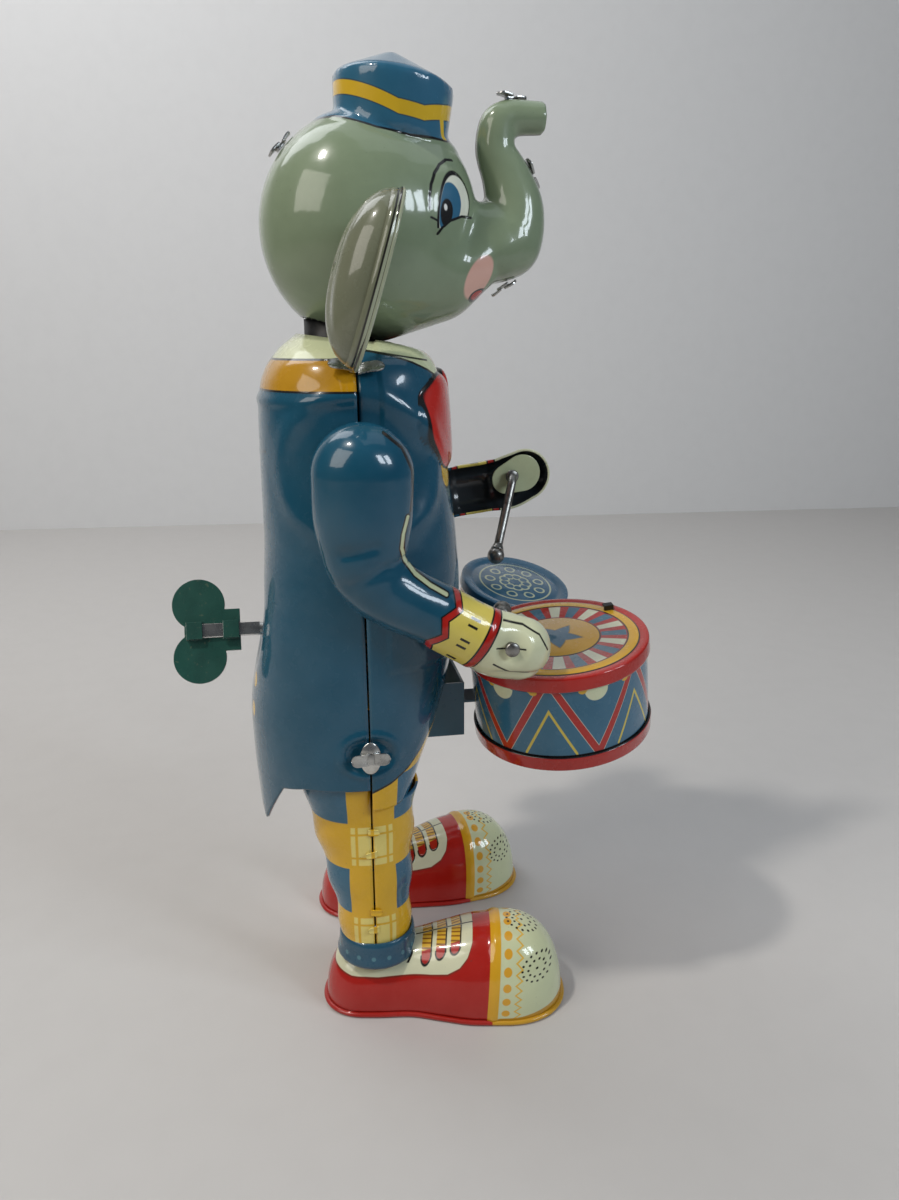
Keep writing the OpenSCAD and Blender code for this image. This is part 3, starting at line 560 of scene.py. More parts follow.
def coat_back_paint(ink):
    """A yellow yoke under a cream collar, two buttons and the split between the tails."""
    z, ax = ink.z, abs(ink.x)
    for height, colour in ((141.3, "bd8a08"), (147.35, CREAM)):
        ink.lay(ink.above(z, height), colour)
        ink.lay(ink.line(z - height, INK_LINE), BLACK)
    split = ink.above(ax, 0.35) * ink.below(ax, 0.9)
    ink.lay(split * ink.below(z, 76) * ink.above(z, 44), BLACK)
    for height in (78, 71):
        ink.drawn(ink.length(ax - 9, z - height) - 1.9, "d9b13a", 1)
    ink.lay(ink.line(ink.path(ax, z, [(3, 128.8), (7, 128.4), (13, 129)]), 0.4), BLACK)


def collar_paint(ink):
    """The cream collar over the shoulders and its inner line."""
    f, z = ink.f, ink.z
    edge = ink.through(f, [(0.9, 149), (5.5, 148.1), (9.9, 146.7), (13.3, 145.2), (15.2, 144)])
    ink.lay(ink.above(z, edge) * ink.above(f, -0.5), CREAM)
    ink.lay(ink.line(z - edge, INK_LINE) * ink.above(f, -0.5), BLACK)
    inner = ink.through(f, [(0.9, 149), (7.7, 147.9), (13.5, 147)])
    ink.lay(ink.line(z - inner, 0.36) * ink.between(f, 1.5, 13.6), BLACK)


def vest_paint(ink, front):
    """The yellow vest, its lapel points and buttons, and the shirt."""
    x, z, ax = ink.x, ink.z, abs(ink.x)
    sides = [(98, 0.01), (104, 1.6), (112, 4.6), (119, 8.4), (124, 11), (135, 12), (148, 11)]
    half = ink.through(z, sides)
    ink.drawn(ax - half, YELLOW, front * ink.between(z, 98.5, 149))
    shirt = ink.below(ax, ink.through(z, [(118, 0.01), (126, 3), (147, 8)])) * front
    ink.lay(shirt * ink.above(z, 118.5), "e8e6d2")
    ink.drawn(ink.oval(ax, z, 14.2, 125.2, 3.6, 4.6, -14), YELLOW, front)
    for height in (103.2, 109.4, 115.6):
        ink.drawn(ink.length(x, z - height) - 1.35, RED, front, 0.36)


def coat_front_paint(ink):
    x, f, z = ink.x, ink.f, ink.z
    front = ink.above(f, 2)
    collar_paint(ink)
    vest_paint(ink, front)
    hem = ink.through(f, [(-1.5, 57.4), (3, 59.2), (7, 61.4), (10.5, 64.4), (13, 68), (16, 70.5)])
    leg = ink.below(z, hem)
    checks(ink, leg)
    ink.lay(ink.line(z - hem, 0.5), BLACK)
    ink.lay(ink.line(x, 0.5) * leg, BLACK)
    for lobe in BOW:
        ink.drawn(ink.oval(x, z, *lobe), BOW_RED, front, 0.5)
    for side in (-1, 1):
        fold = ink.path(x, z, [(side * 3.4, 142), (side * 8, 139.5), (side * 10.5, 136.5)])
        ink.lay(ink.line(fold, 0.4) * front, BLACK)
    ink.drawn(ink.oval(x, z, *KNOT), BOW_RED, front, 0.5)


def checks(ink, where):
    """Big blue squares on yellow, with a thin pale tartan where the yellow bands cross."""
    x, f, z = ink.x, ink.f, ink.z
    ax = abs(x)
    turn = ink.math("ARCTAN2", f - SEAM_F, ax - 17) * 10.5
    band = ink.wave(z, 22.7, 43.5)
    column = ink.wave(turn, 21.99)
    ink.lay(where, YELLOW)
    ink.lay(where * ink.above(band, 5.65) * ink.above(column, 5.6), "2f6580")
    tartan = where * ink.below(band, 5.2) * ink.below(column, 5.6)
    pale = ink.most(ink.line(column - 1.9, 3.0), ink.line(column - 4.5, 1.0)) * ink.below(band, 4.7)
    gap = ink.most(ink.line(band - 2.9, 0.5), ink.line(column - 3.65, 0.5))
    ink.lay(tartan * pale * (1 - gap), "ecd87a")


def trouser_paint(ink):
    checks(ink, ink.above(ink.z, 0))


# ---- Shoes ----
ANKLE_X, SPLAY = 19.5, 9.0
SHOE_F = [-3, 7, 15, 23, 29.5]
SHOE_W = [9.2, 9.8, 10.9, 12.2, 12.3]
SHOE_H = [13.2, 14.3, 16.2, 18, 18.6]
HEEL, TOE = 9.8, 13.8
SOLE = 0.8


def shoe_place(side):
    return placing((side * ANKLE_X, 0, 0), (0, 0, side * SPLAY))


def shoe_upper(rows=150, cols=96):
    u = np.linspace(0.001, math.pi - 0.001, rows)
    start, end = SHOE_F[0] - HEEL, SHOE_F[-1] + TOE
    f = start + (end - start) * (1 - np.cos(u)) / 2
    heel = np.clip((SHOE_F[0] - f) / HEEL, 0, 1)
    toe = np.clip((f - SHOE_F[-1]) / TOE, 0, 1)
    shrink = (1 - np.maximum(heel, toe) ** 2.2) ** (1 / 2.2)
    droop = (1 - heel ** 2.4 - toe ** 2.4) ** (1 / 2.4)
    w = smooth_line(SHOE_F, SHOE_W, np.clip(f, SHOE_F[0], SHOE_F[-1])) * shrink
    h = smooth_line(SHOE_F, SHOE_H, np.clip(f, SHOE_F[0], SHOE_F[-1])) * droop
    w = w - 0.7 * bump(f - 8, 6)
    t = np.linspace(math.pi, 0, cols)[None, :]
    x = w[:, None] * power(np.cos(t), 2 / 2.35)
    z = SOLE + h[:, None] * power(np.sin(t), 2 / 2.35)
    g = np.stack([x, f[:, None] + 0 * t, z], 2)
    ridge = g[..., 1] - (26.1 + 1.2 * g[..., 2] / 19)
    step = 0.25 * np.clip(ridge, 0, 1) * bump(ridge - 3, 6)
    return raise_by(g, 0.55 * bump(ridge, 1.05) + step)


def shoe_paint(ink):
    x, f, z = ink.x, ink.f, ink.z
    ax = abs(x)
    edge = ink.through(f, [(-11, 10.4), (-6.2, 9.4), (0, 9.3), (6, 9.8), (12, 10.4), (16, 11), (18.8, 12.6),
                           (20.6, 14.6), (21.8, 17), (22.3, 21)])
    facing = ink.above(z, edge) * ink.below(f, 22.3)
    ink.lay(facing, "dcdcbc")
    ink.lay(ink.line(z - edge, 0.4) * ink.below(f, 22.4), "8a2a1c")
    cuff = ink.length(x, f + 0.5) - 9.6
    ink.lay(ink.line(cuff, 0.5) * ink.above(z, 12.2) * ink.below(f, 8), BLACK)
    spine = ink.line(x, 0.4) * ink.between(f, 8.6, 22.2)
    ink.lay(spine, BLACK)
    for place in (11.4, 14.8, 18.2):
        slant = f - place + ax * 0.06
        lace = ink.below(abs(slant), 1.05) * ink.between(ax, 0.3, 6.2)
        stripes = ink.wave(ax - 0.25 * slant, 1.15)
        ink.lay(lace, "dcae36")
        ink.lay(lace * ink.below(stripes, 0.2), "8c5a1c")
        ink.lay(lace * ink.above(ax, 4.9), RED)
        end = ink.length(slant, ax - 6) - 1.05
        ink.lay(ink.below(end, 0) * ink.above(ax, 4.9), RED)
        ink.lay(ink.line(slant - 1.2, 0.34) * ink.between(ax, 0.3, 6.4), BLACK)
        ink.lay(ink.line(end - 0.1, 0.34) * ink.above(ax, 5.6), BLACK)
    ridge = f - z * (1.2 / 19)
    ink.lay(ink.above(ridge, 24.9), "dca61f")
    ink.lay(ink.above(ridge, 27.3), CREAM)
    around = ink.math("ARCTAN2", z, ax) * (180 / math.pi)
    dots = ink.length(ridge - 29.0, ink.wave(around, 12, 2) * 0.27)
    ink.lay(ink.below(dots, 0.95) * ink.above(z, 1.5), "dda32c")
    zig = abs(ridge - 31.7 - (ink.wave(around, 8) - 2) * 0.35)
    ink.lay(ink.below(zig, 0.28) * ink.above(z, 1.5), "e0b548")
    for u, v in ((f - 36.6, (z - 12.4) * 1.35), (f - 33.6, ax)):
        near = ink.length(u, v)
        angle = ink.math("ARCTAN2", v, u) * (180 / math.pi)
        for radius, count in ((2.1, 10), (3.5, 16)):
            step = 360 / count
            across = ink.wave(angle, step) * (radius * math.pi / 180)
            ink.lay(ink.below(ink.length(near - radius, across), 0.3, 0.2) * ink.above(f, 28), "1d1c18")
        ink.lay(ink.below(near, 0.32, 0.2), "1d1c18")
    brim = ink.through(f, [(24, 1.7), (33, 1.9), (40, 2.7), (43, 3.6)])
    ink.lay(ink.below(z, brim) * ink.above(ridge, 27.3), "c08f1e")
    ink.lay(ink.between(z, 0.8, 1.5) * ink.below(f, 25), "8d1810")


def sole_paint(ink):
    ink.lay(ink.above(ink.f, 26.2), "c8961f")


def sock_paint(ink):
    """Pale spots round the sock."""
    around = ink.math("ARCTAN2", ink.x, ink.f + 0.5) * 9
    spot = ink.length(ink.wave(around, 3.6), ink.z - 15.3)
    ink.lay(ink.below(spot, 0.5), "4d7d8a")


def sole_plate():
    """A thin sole whose edge is rolled over the upper's foot."""
    u = np.linspace(0, 2 * math.pi, 220, endpoint=False)
    c, s = np.cos(u), np.sin(u)
    middle = (SHOE_F[0] + SHOE_F[-1]) / 2
    long = (SHOE_F[-1] - SHOE_F[0]) / 2
    f = middle + s * (long + np.where(s > 0, TOE, HEEL))
    heel = np.clip((SHOE_F[0] - f) / HEEL, 0, 1)
    toe = np.clip((f - SHOE_F[-1]) / TOE, 0, 1)
    w = smooth_line(SHOE_F, SHOE_W, np.clip(f, SHOE_F[0], SHOE_F[-1])) - 0.7 * bump(f - 8, 6)
    w = w * (1 - np.maximum(heel, toe) ** 2.2) ** (1 / 2.2)
    line = np.stack([np.sign(c) * np.maximum(w, 0.01), f], 1)
    out = unit(np.stack([np.gradient(line[:, 1]), -np.gradient(line[:, 0])], 1))
    out *= np.sign((out * (line - [0, middle])).sum(1, keepdims=True))
    rings = []
    inwards = line * 0.3 + np.array([0, middle]) * 0.7
    for push, height in ((None, 0.05), (-0.2, 0.05), (0.35, 0.08), (0.75, 0.3), (0.85, 0.65), (0.7, 1.0),
                         (0.35, 1.2), (0.0, 1.15), (-0.4, 1.0), (None, 0.9)):
        ring = inwards if push is None else line + out * push
        rings.append(np.column_stack([ring, np.full(len(u), height)]))
    return np.stack(rings)


# ---- Drums ----
BIG = placing((-13, 43.3, 85.4), (-6.8, -6.5, 0))
SMALL = placing((22.7, 42.2, 88.9), (8.3, -14.8, 0))


def rim_profile(r, wall, deep, face):
    """The lid from its middle outwards and down its turned rim; face lists grooves of the lid."""
    points = [(0.02, -0.15)] + face
    edge = r + wall
    points += [(r - 1.1, -0.12), (r - 0.7, 0.0), (edge - 0.35, 0.0), (edge - 0.1, -0.12), (edge, -0.4),
               (edge, -deep + 0.8), (edge + 0.12, -deep + 0.35), (edge, -deep), (r + 0.05, -deep),
               (r + 0.05, -0.7)]
    return points


def drum_lid(name, place, r, deep, face, down=0.0):
    profile = rim_profile(r, 0.5, deep, face)
    if down:
        profile = [(a, -down - b) for a, b in profile]
    return sheet(name, lathe(profile), place, wrap=True, thick=0)


def drum_wall(name, place, r, h):
    profile = [(r - 0.5, -1.2), (r, -1.2)] + [(r, -1.2 - (h - 2.4) * k / 12) for k in range(1, 13)]
    profile += [(r - 0.5, -h + 1.2), (r - 0.5, -1.2)]
    return sheet(name, lathe(profile), place, wrap=True, thick=0)


def big_drum_paint(ink):
    x, y, z = ink.x, ink.f, ink.z
    r = ink.length(x, y)
    angle = ink.math("ARCTAN2", -1 * y, x) * (180 / math.pi)
    wall = ink.between(z, -19.7, -3.2)
    ink.lay(wall, "2f6783")
    tri = ink.wave(angle, 60, 158)
    drop = -1 * z - 3.4
    tilt = 16.2 / 25.3
    red = ((tri - 4.7) * tilt - drop) * 0.86
    ink.lay(ink.line(red, 2.9) * wall, RED)
    ink.lay(ink.line(abs(red) - 1.5, 0.16) * wall, "e6e2cc")
    chevron = (tri * (10.8 / 15.8) - (drop - 4.8)) * 0.52
    ink.lay(ink.line(chevron, 0.62) * wall * ink.below(tri, 16.5), "d8c04a")
    half = ink.length((tri - 30) * 0.356, drop - 0.4)
    ink.lay(ink.below(half, 2.7) * wall, "d9dcb8")
    for shift in (9, -21):
        dot = ink.length(ink.wave(angle, 60, 158 - shift) * 0.356, drop)
        ink.lay(ink.below(dot, 1.0) * wall, "dfae2f")
    ink.lay(ink.line(z + 19.5, 0.5), BLACK)
    top = ink.above(z, -1.0)
    ink.lay(ink.below(r, 18.7) * top, "dca825")
    ink.lay(ink.below(r, 16.2) * top, RED)
    block_angle = ink.wave(angle, 18, 4)
    odd = ink.cell(angle - 4 + 9, 18)
    wedge = ink.below(block_angle, 5.2, 0.8) * ink.between(r, 10.2, 15.9) * top
    ink.lay(wedge, "3a6a82")
    ink.lay(wedge * odd, "d9d8bd")
    ink.lay(ink.below(r, 9.9) * top, "cf9c30")
    for ring in (18.7, 16.2, 9.9):
        ink.lay(ink.line(r - ring, 0.34) * top, BLACK)
    spoke = ink.wave(angle, 72, 171)
    star = r * (0.55 + spoke * 0.0155)
    ink.lay(ink.below(star, 3.3, 0.2) * top, "35617a")
    ink.lay(ink.line(star - 3.4, 0.3) * top, "8f6a20")


def small_drum_paint(ink):
    x, y, z = ink.x, ink.f, ink.z
    r = ink.length(x, y)
    angle = ink.math("ARCTAN2", -1 * y, x) * (180 / math.pi)
    wall = ink.between(z, -10.5, -2.5)
    ink.lay(wall, "c98c3c")
    stripe = ink.wave(angle + z * 2.2, 24)
    ink.lay(ink.below(stripe, 3.2, 0.6) * wall, RED)
    ink.lay(ink.line(stripe - 6.5, 0.9) * wall, "e6d79a")
    top = ink.above(z, -1.0)
    for radius, spin in ((6.8, 0), (3.0, 20)):
        curl = ink.length(ink.wave(angle, 40, spin) * (radius * math.pi / 180), r - radius)
        ink.lay(ink.line(curl - 1.25, 0.5) * top, "c9cfae")
    ink.lay(ink.line(r - 9.6, 0.45) * top, "c9cfae")


# ---- Arms, hands and sticks ----
ARM = [(-1.4, 126.2, 10), (-1.6, 118.5, 9.8), (-1.4, 110.5, 8.5), (1, 104.8, 7.4), (6.5, 100.6, 6.9),
       (12.5, 97.5, 6.6), (19.5, 93.4, 6.6), (25.5, 90.2, 7.2), (30, 89, 6.9)]
ARM_RIM, ARM_DEPTH, LIFT, PLATE_X = 30.0, 0.92, 38.0, -30.4
HAND = (27.0, 91.2)


def arm_place(side):
    """The arms are designed as the right one; the left is its mirror image, raised about the shoulder."""
    if side < 0:
        return world
    a = math.radians(LIFT)

    def place(points):
        p = np.asarray(points, float).reshape(-1, 3)
        f, z = p[:, 1] - SHOULDER[0], p[:, 2] - SHOULDER[1]
        return world(np.stack([-p[:, 0], SHOULDER[0] + f * math.cos(a) - z * math.sin(a),
                               SHOULDER[1] + f * math.sin(a) + z * math.cos(a)], 1))
    return place


def arm_grid(rows=150, cols=56):
    """A half tube along the arm, with a round cap at the shoulder and at the finger tips."""
    knots = np.arange(len(ARM), dtype=float)
    f, z, r = (np.array([b[i] for b in ARM]) for i in range(3))
    s = np.linspace(0, len(ARM) - 1, rows)
    centre = np.stack([smooth_line(knots, f, s), smooth_line(knots, z, s)], 1)
    for _ in range(6):
        centre[1:-1] = (centre[:-2] + 2 * centre[1:-1] + centre[2:]) / 4
    radius = smooth_line(knots, r, s)
    ahead = unit(np.gradient(centre, axis=0))
    cap = np.linspace(0.03, math.pi / 2, 22)[:-1]

    def end(at, sign, angles):
        out = sign * ahead[at] * radius[at]
        return [(centre[at] + out * math.cos(a), ahead[at], radius[at] * math.sin(a)) for a in angles]

    body = list(zip(centre, ahead, radius))
    t = np.linspace(0, math.pi, cols)
    grid = []
    for c, a, q in end(0, -1, cap) + body + end(-1, 1, cap[::-1]):
        across = np.array([-a[1], a[0]])
        line = c + (q * np.cos(t))[:, None] * across
        grid.append(np.column_stack([-ARM_RIM - ARM_DEPTH * q * np.sin(t), line]))
    return np.array(grid)


def arm_skin():
    g = arm_grid()
    x, f, z = g[..., 0], g[..., 1], g[..., 2]
    away = np.clip((-ARM_RIM - x) / 2.5, 0, 1)
    cuff = (f * 0.86 - z * 0.51) + 38.0
    lift = 0.5 / (1 + np.exp(-cuff * 4)) - 0.75 / (1 + np.exp(-(cuff - 10.3) * 3))
    lift -= 0.9 * bump(np.hypot(f - HAND[0], z - HAND[1]), 2.6)
    lift += 0.25 * bump(np.hypot(f - HAND[0], z - HAND[1]) - 4.2, 1.3)
    lift -= 0.5 * bump(z - 84.9 + 0.1 * (f - 27), 0.8) * np.clip((f - 22) / 3, 0, 1)
    for f0, z0, f1, z1 in ((2, 109, -5, 105.4), (0, 113.4, -6, 112)):
        df, dz = f1 - f0, z1 - z0
        along = np.clip(((f - f0) * df + (z - z0) * dz) / (df ** 2 + dz ** 2), 0, 1)
        d = np.hypot(f - f0 - along * df, z - z0 - along * dz)
        lift -= 0.55 * bump(d, 1.3)
    lift += 0.35 * bump(np.hypot(f + 1.5, z - 131.5), 3)
    return raise_by(g, lift * away)


def arm_paint(ink):
    x, f, z = ink.x, ink.f, ink.z
    along = f * 0.86 - z * 0.51 + 38.6
    across = f * 0.51 + z * 0.86
    front = ink.path(f, z, [(2.4, 134.4), (5.8, 131.6), (7.7, 127.3), (7.9, 123.3), (7.3, 119.5)])
    ink.lay(ink.line(front, 0.6), BLACK)
    bend = [(6.6, 118.6), (5.6, 115.4), (5.3, 112.6), (6.1, 109.8), (8.1, 106.9), (11, 104.5), (14.2, 102.5)]
    crescent = ink.path(f, z, bend)
    ink.lay(ink.line(crescent, 1.3), BLACK)
    ink.lay(ink.line(crescent, 0.7), CREAM)
    scallop = abs(ink.wave(across, 6.0, 1.2) - 3) * 0.55
    edge = along + scallop - 2.0
    for start, colour in ((-1.1, BLACK), (-0.75, RED), (0.5, BLACK), (0.85, "e0cd62")):
        ink.lay(ink.above(edge, start), colour)
    for shift in (-0.75, 0.75):
        pair = ink.below(abs(along - 5.9), 1.1) * ink.below(abs(ink.wave(across + shift, 4.7, 93.2)), 0.26)
        ink.lay(pair * ink.above(edge, 2.2), BLACK)
    for start, colour in ((9.1, BLACK), (9.5, RED), (11.0, BLACK), (11.4, "d9dbb6")):
        ink.lay(ink.above(along, start), colour)
    hand = ink.above(along, 11.6)
    for width, points in ((0.42, [(23.4, 87.9), (26.9, 85.8), (31.2, 85.2)]),
                          (0.34, [(24, 91.3), (30, 90.6)]),
                          (0.36, [(25.6, 96.5), (30, 95.2), (33.4, 93), (35.2, 89.6)])):
        ink.lay(ink.line(ink.path(f, z, points), width) * hand, BLACK)


def flat_plate(name, outline, x, place, thick=0.6):
    """A flat plate across X with rounded edges."""
    obj = mesh_object(name, [(x, a, b) for a, b in outline], [tuple(range(len(outline)))], place)
    solid = obj.modifiers.new("tin", "SOLIDIFY")
    solid.thickness = thick / 1000
    solid.offset = 0
    obj.data.shade_flat()
    return rounded(obj, 0.15)


def capsule(a, ra, b, rb, steps=40):
    """The outline around two circles."""
    a, b = np.array(a, float), np.array(b, float)
    d = b - a
    gap = np.hypot(*d)
    base = math.atan2(d[1], d[0])
    spread = math.acos(np.clip((ra - rb) / gap, -1, 1))
    t = np.linspace(base + spread, base + 2 * math.pi - spread, steps)
    s = np.linspace(base - spread, base + spread, steps)
    return np.concatenate([a + ra * np.column_stack([np.cos(t), np.sin(t)]),
                           b + rb * np.column_stack([np.cos(s), np.sin(s)])])


def bent_path(points, radius, steps=10):
    """A path whose inner corners are rounded."""
    points = [np.array(p, float) for p in points]
    out = [points[0]]
    for p, q, r in zip(points, points[1:], points[2:]):
        a, b = unit(p - q), unit(r - q)
        reach = min(radius, np.linalg.norm(p - q) * 0.45, np.linalg.norm(r - q) * 0.45)
        for k in range(steps + 1):
            s = k / steps
            out.append((1 - s) ** 2 * (q + a * reach) + 2 * s * (1 - s) * q + s * s * (q + b * reach))
    out.append(points[-1])
    fine = []
    for p, q in zip(out, out[1:]):
        n = max(1, int(np.linalg.norm(q - p) / 1.2))
        fine += [p + (q - p) * k / n for k in range(n)]
    return np.array(fine + [out[-1]])


def ball(centre, r, squash=1.0):
    t = np.linspace(0.02, math.pi - 0.02, 24)
    g = lathe([(r * math.sin(a), -r * math.cos(a) * squash) for a in t], 36)
    return g.reshape(-1, 3) + np.array(centre), grid_faces(24, 36, wrap=True) + [
        tuple(range(36))[::-1], tuple(range(23 * 36, 24 * 36))]


def stick(name, side, tip, material):
    """A bent wire with a peened outer end, a collar at the hand and a ball at its tip."""
    a = math.radians(LIFT)
    f, z = HAND[0] - SHOULDER[0], HAND[1] - SHOULDER[1]
    if side > 0:
        f, z = f * math.cos(a) - z * math.sin(a), f * math.sin(a) + z * math.cos(a)
    f, z = f + SHOULDER[0], z + SHOULDER[1]
    wire = bent_path([(side * 37.0, f, z), (side * 27.6, f, z), tip], 2.4)
    rod = sweep(wire, 1.15)
    head = sweep([(side * (36.9 + k * 0.18), f, z) for k in range(5)], [1.35, 1.55, 1.5, 1.25, 0.7])
    collar = sweep([(side * (29.0 - k * 0.25), f, z) for k in range(4)], [1.5, 1.75, 1.75, 1.45])
    neck = unit(np.array(wire[-2]) - np.array(tip))
    throat = sweep([np.array(tip) + neck * d for d in (1.4, 2.0, 2.6, 3.2)], [1.75, 1.6, 1.35, 1.16])
    points, faces = merged([rod, head, collar, throat, ball(tip, 2.2)])
    word = name.split("_")[1]
    made = mesh_object(name, points, faces)
    return settle(made, "arm_" + word, "bright_steel", material, "drumstick_" + word)


# ---- Head ----
SKULL = [(2.6, 173, 19.4, 21.6, 22.6), (12.5, 174, 15, 14.2, 19.4), (17, 165, 12, 11, 10.6)]
TRUNK = [(26, 170.5, 8.6), (33, 171.4, 8), (34.8, 177.6, 6.6), (33, 184, 5.2), (30.5, 189.5, 4.2),
         (31.3, 194, 4), (35.2, 195.4, 3.5), (41, 195.4, 3.2)]


def hull_of(clouds, name):
    """A closed mesh around a cloud of points, in millimetres."""
    bm = bmesh.new()
    for p in np.concatenate(clouds):
        bm.verts.new(p)
    bmesh.ops.convex_hull(bm, input=bm.verts)
    bmesh.ops.delete(bm, geom=[v for v in bm.verts if not v.link_faces], context="VERTS")
    mesh = bpy.data.meshes.new(name)
    bm.to_mesh(mesh)
    bm.free()
    return mesh


def ellipsoid(centre, radii, n=30):
    a, b = np.meshgrid(np.linspace(0, 2 * math.pi, 2 * n, endpoint=False), np.linspace(0, math.pi, n))
    p = np.stack([np.cos(a) * np.sin(b), np.sin(a) * np.sin(b), np.cos(b)], 2).reshape(-1, 3)
    return p * radii + np.array(centre, float)


def disc(centre, rx, rf, tilt, thick=1.0):
    t = np.linspace(0, 2 * math.pi, 60, endpoint=False)
    a = math.radians(tilt)
    rings = []
    for h in (0, thick):
        f, z = rf * np.sin(t), h
        rings.append(np.stack([rx * np.cos(t), centre[0] + f * math.cos(a) + z * math.sin(a),
                               centre[1] - f * math.sin(a) + z * math.cos(a)], 1))
    return np.concatenate(rings)


def head_solid():
    """The whole head as one smooth closed mesh in millimetres: skull, trunk and hat, blended."""
    parts = [hull_of([ellipsoid((0, s[0], s[1]), s[2:]) for s in SKULL], "skull"),
             hull_of([ellipsoid((0, SKULL[2][0], SKULL[2][1]), SKULL[2][2:]),
                      ellipsoid((0, TRUNK[0][0], TRUNK[0][1]), (TRUNK[0][2],) * 3)], "muzzle"),
             hull_of([disc((8.6, 190.4), 12.4, 11.2, 8), disc((9.4, 200.0), 13.5, 12.0, 7.4, 0.5),
                      disc((8.7, 204.3), 5, 1.5, 7, 0.6)], "hat")]
    s = np.linspace(0, len(TRUNK) - 1, 90)
    knots = np.arange(len(TRUNK), dtype=float)
    tf, tz, tr = (smooth_line(knots, [b[i] for b in TRUNK], s) for i in range(3))
    for _ in range(10):
        tf[1:-1] = (tf[:-2] + 2 * tf[1:-1] + tf[2:]) / 4
        tz[1:-1] = (tz[:-2] + 2 * tz[1:-1] + tz[2:]) / 4
    points, faces = sweep(np.stack([0 * tf, tf, tz], 1), tr, 40)
    trunk = bpy.data.meshes.new("trunk")
    trunk.from_pydata(points.tolist(), [], faces)
    parts.append(trunk)
    for kf, kz, kr in TRUNK[:2]:
        parts.append(hull_of([ellipsoid((0, kf, kz), (kr,) * 3)], "knee"))
    bm = bmesh.new()
    for mesh in parts:
        bm.from_mesh(mesh)
    bmesh.ops.recalc_face_normals(bm, faces=bm.faces)
    whole = bpy.data.meshes.new("head")
    bm.to_mesh(whole)
    bm.free()
    obj = bpy.data.objects.new("head_solid", whole)
    bpy.context.scene.collection.objects.link(obj)
    remesh = obj.modifiers.new("voxels", "REMESH")
    remesh.mode = "VOXEL"
    remesh.voxel_size = 0.62
    soft = obj.modifiers.new("soften", "SMOOTH")
    soft.factor = 0.5
    soft.iterations = 6
    bpy.context.view_layer.update()
    ready = bpy.data.meshes.new_from_object(obj.evaluated_get(bpy.context.evaluated_depsgraph_get()))
    bpy.data.objects.remove(obj)
    return ready


def head_relief(p):
    """Pressed detail: the eye's bulge, the cheek, the root of the trunk and the step under the hat."""
    x, f, z = np.abs(p[:, 0]), p[:, 1], p[:, 2]
    face = np.clip((f - 8) / 6, 0, 1) * (z < 189)
    around = np.arctan2(x, f - 4) * 16
    lift = 0.4 * dome(oval(around, z, 11.4, 176.4, 4.6, 7.6, 8), 3) * face
    lift += 1.3 * bump(np.hypot((f - 29) * 0.8, z - 165.5) - 1, 4.5) * np.clip((x - 2) / 4, 0, 1)
    lift -= 1.1 * bump(np.hypot(f - 23, z - 171.5), 4.2) * np.clip((x - 3) / 4, 0, 1)
    brim = z - (192.2 - 0.19 * (f + 1.7))
    lift += 0.35 / (1 + np.exp(-np.clip(brim, -9, 9) * 4)) * (f < 23)
    return lift


def head_half(name, solid, side):
    bm = bmesh.new()
    bm.from_mesh(solid)
    bm.normal_update()
    p = np.array([v.co for v in bm.verts])
    n = np.array([v.normal for v in bm.verts])
    p = p + n * head_relief(p)[:, None]
    for v, q in zip(bm.verts, p):
        v.co = q
    geometry = bm.verts[:] + bm.edges[:] + bm.faces[:]
    seam = side * 0.12
    bmesh.ops.bisect_plane(bm, geom=geometry, plane_co=(seam, 0, 0), plane_no=(-side, 0, 0),
                           clear_outer=True)
    hole = [v for v in bm.verts if v.co.z < 158 and math.hypot(v.co.x, v.co.y + 3.2) < 7.9]
    hole += [v for v in bm.verts if v.co.y > 43.6 and abs(v.co.z - 195.4) < 2.5 and abs(v.co.x) < 2.5]
    bmesh.ops.delete(bm, geom=hole, context="VERTS")
    bm.normal_update()
    points = [tuple(v.co) for v in bm.verts]
    bm.verts.index_update()
    faces = [[v.index for v in face.verts] for face in bm.faces]
    bm.free()
    obj = mesh_object(name, points, faces)
    outward(obj)
    solid_mod = obj.modifiers.new("tin", "SOLIDIFY")
    solid_mod.thickness = TIN / 1000
    solid_mod.offset = -1
    return obj


def eye_paint(ink, around, face):
    """Brow, white, iris, pupil, glint and lashes; around runs round the face in millimetres."""
    z = ink.z
    arch = [(16.1, 175.6), (15.9, 177.8), (15.2, 180), (13.9, 182.2), (12.1, 184), (10.1, 185.2),
            (8.6, 185.3)]
    ink.lay(ink.line(ink.path(around, z, arch), 0.5) * face, BLACK)
    socket = ink.oval(around, z, 10.9, 175.3, 3.3, 7.0, 10)
    lid = [(6.1, 174.9), (9.3, 174.7), (12, 173.6), (13.7, 172.2)]
    over_lid = ink.above(z, ink.through(around, lid + [(14.6, 172)])) * face
    inside = ink.below(socket, 0) * over_lid
    ink.lay(ink.below(socket, 0.45) * over_lid, BLACK)
    ink.lay(inside, "e6e8d6")
    for shape, colour in (((12.1, 175.8, 2.35, 5.0, 8), "2f6a8a"), ((12.8, 175.0, 1.3, 2.6, 6), BLACK),
                          ((13.0, 176.0, 0.35, 0.6), "f4f4ee")):
        ink.lay(ink.below(ink.oval(around, z, *shape), 0) * inside, colour)
    ink.lay(ink.line(ink.path(around, z, lid + [(14.6, 171)]), 0.5) * face, BLACK)
    ink.lay(ink.line(ink.path(around, z, [(15.9, 173.9), (14.8, 173.4)]), 0.4) * face, BLACK)


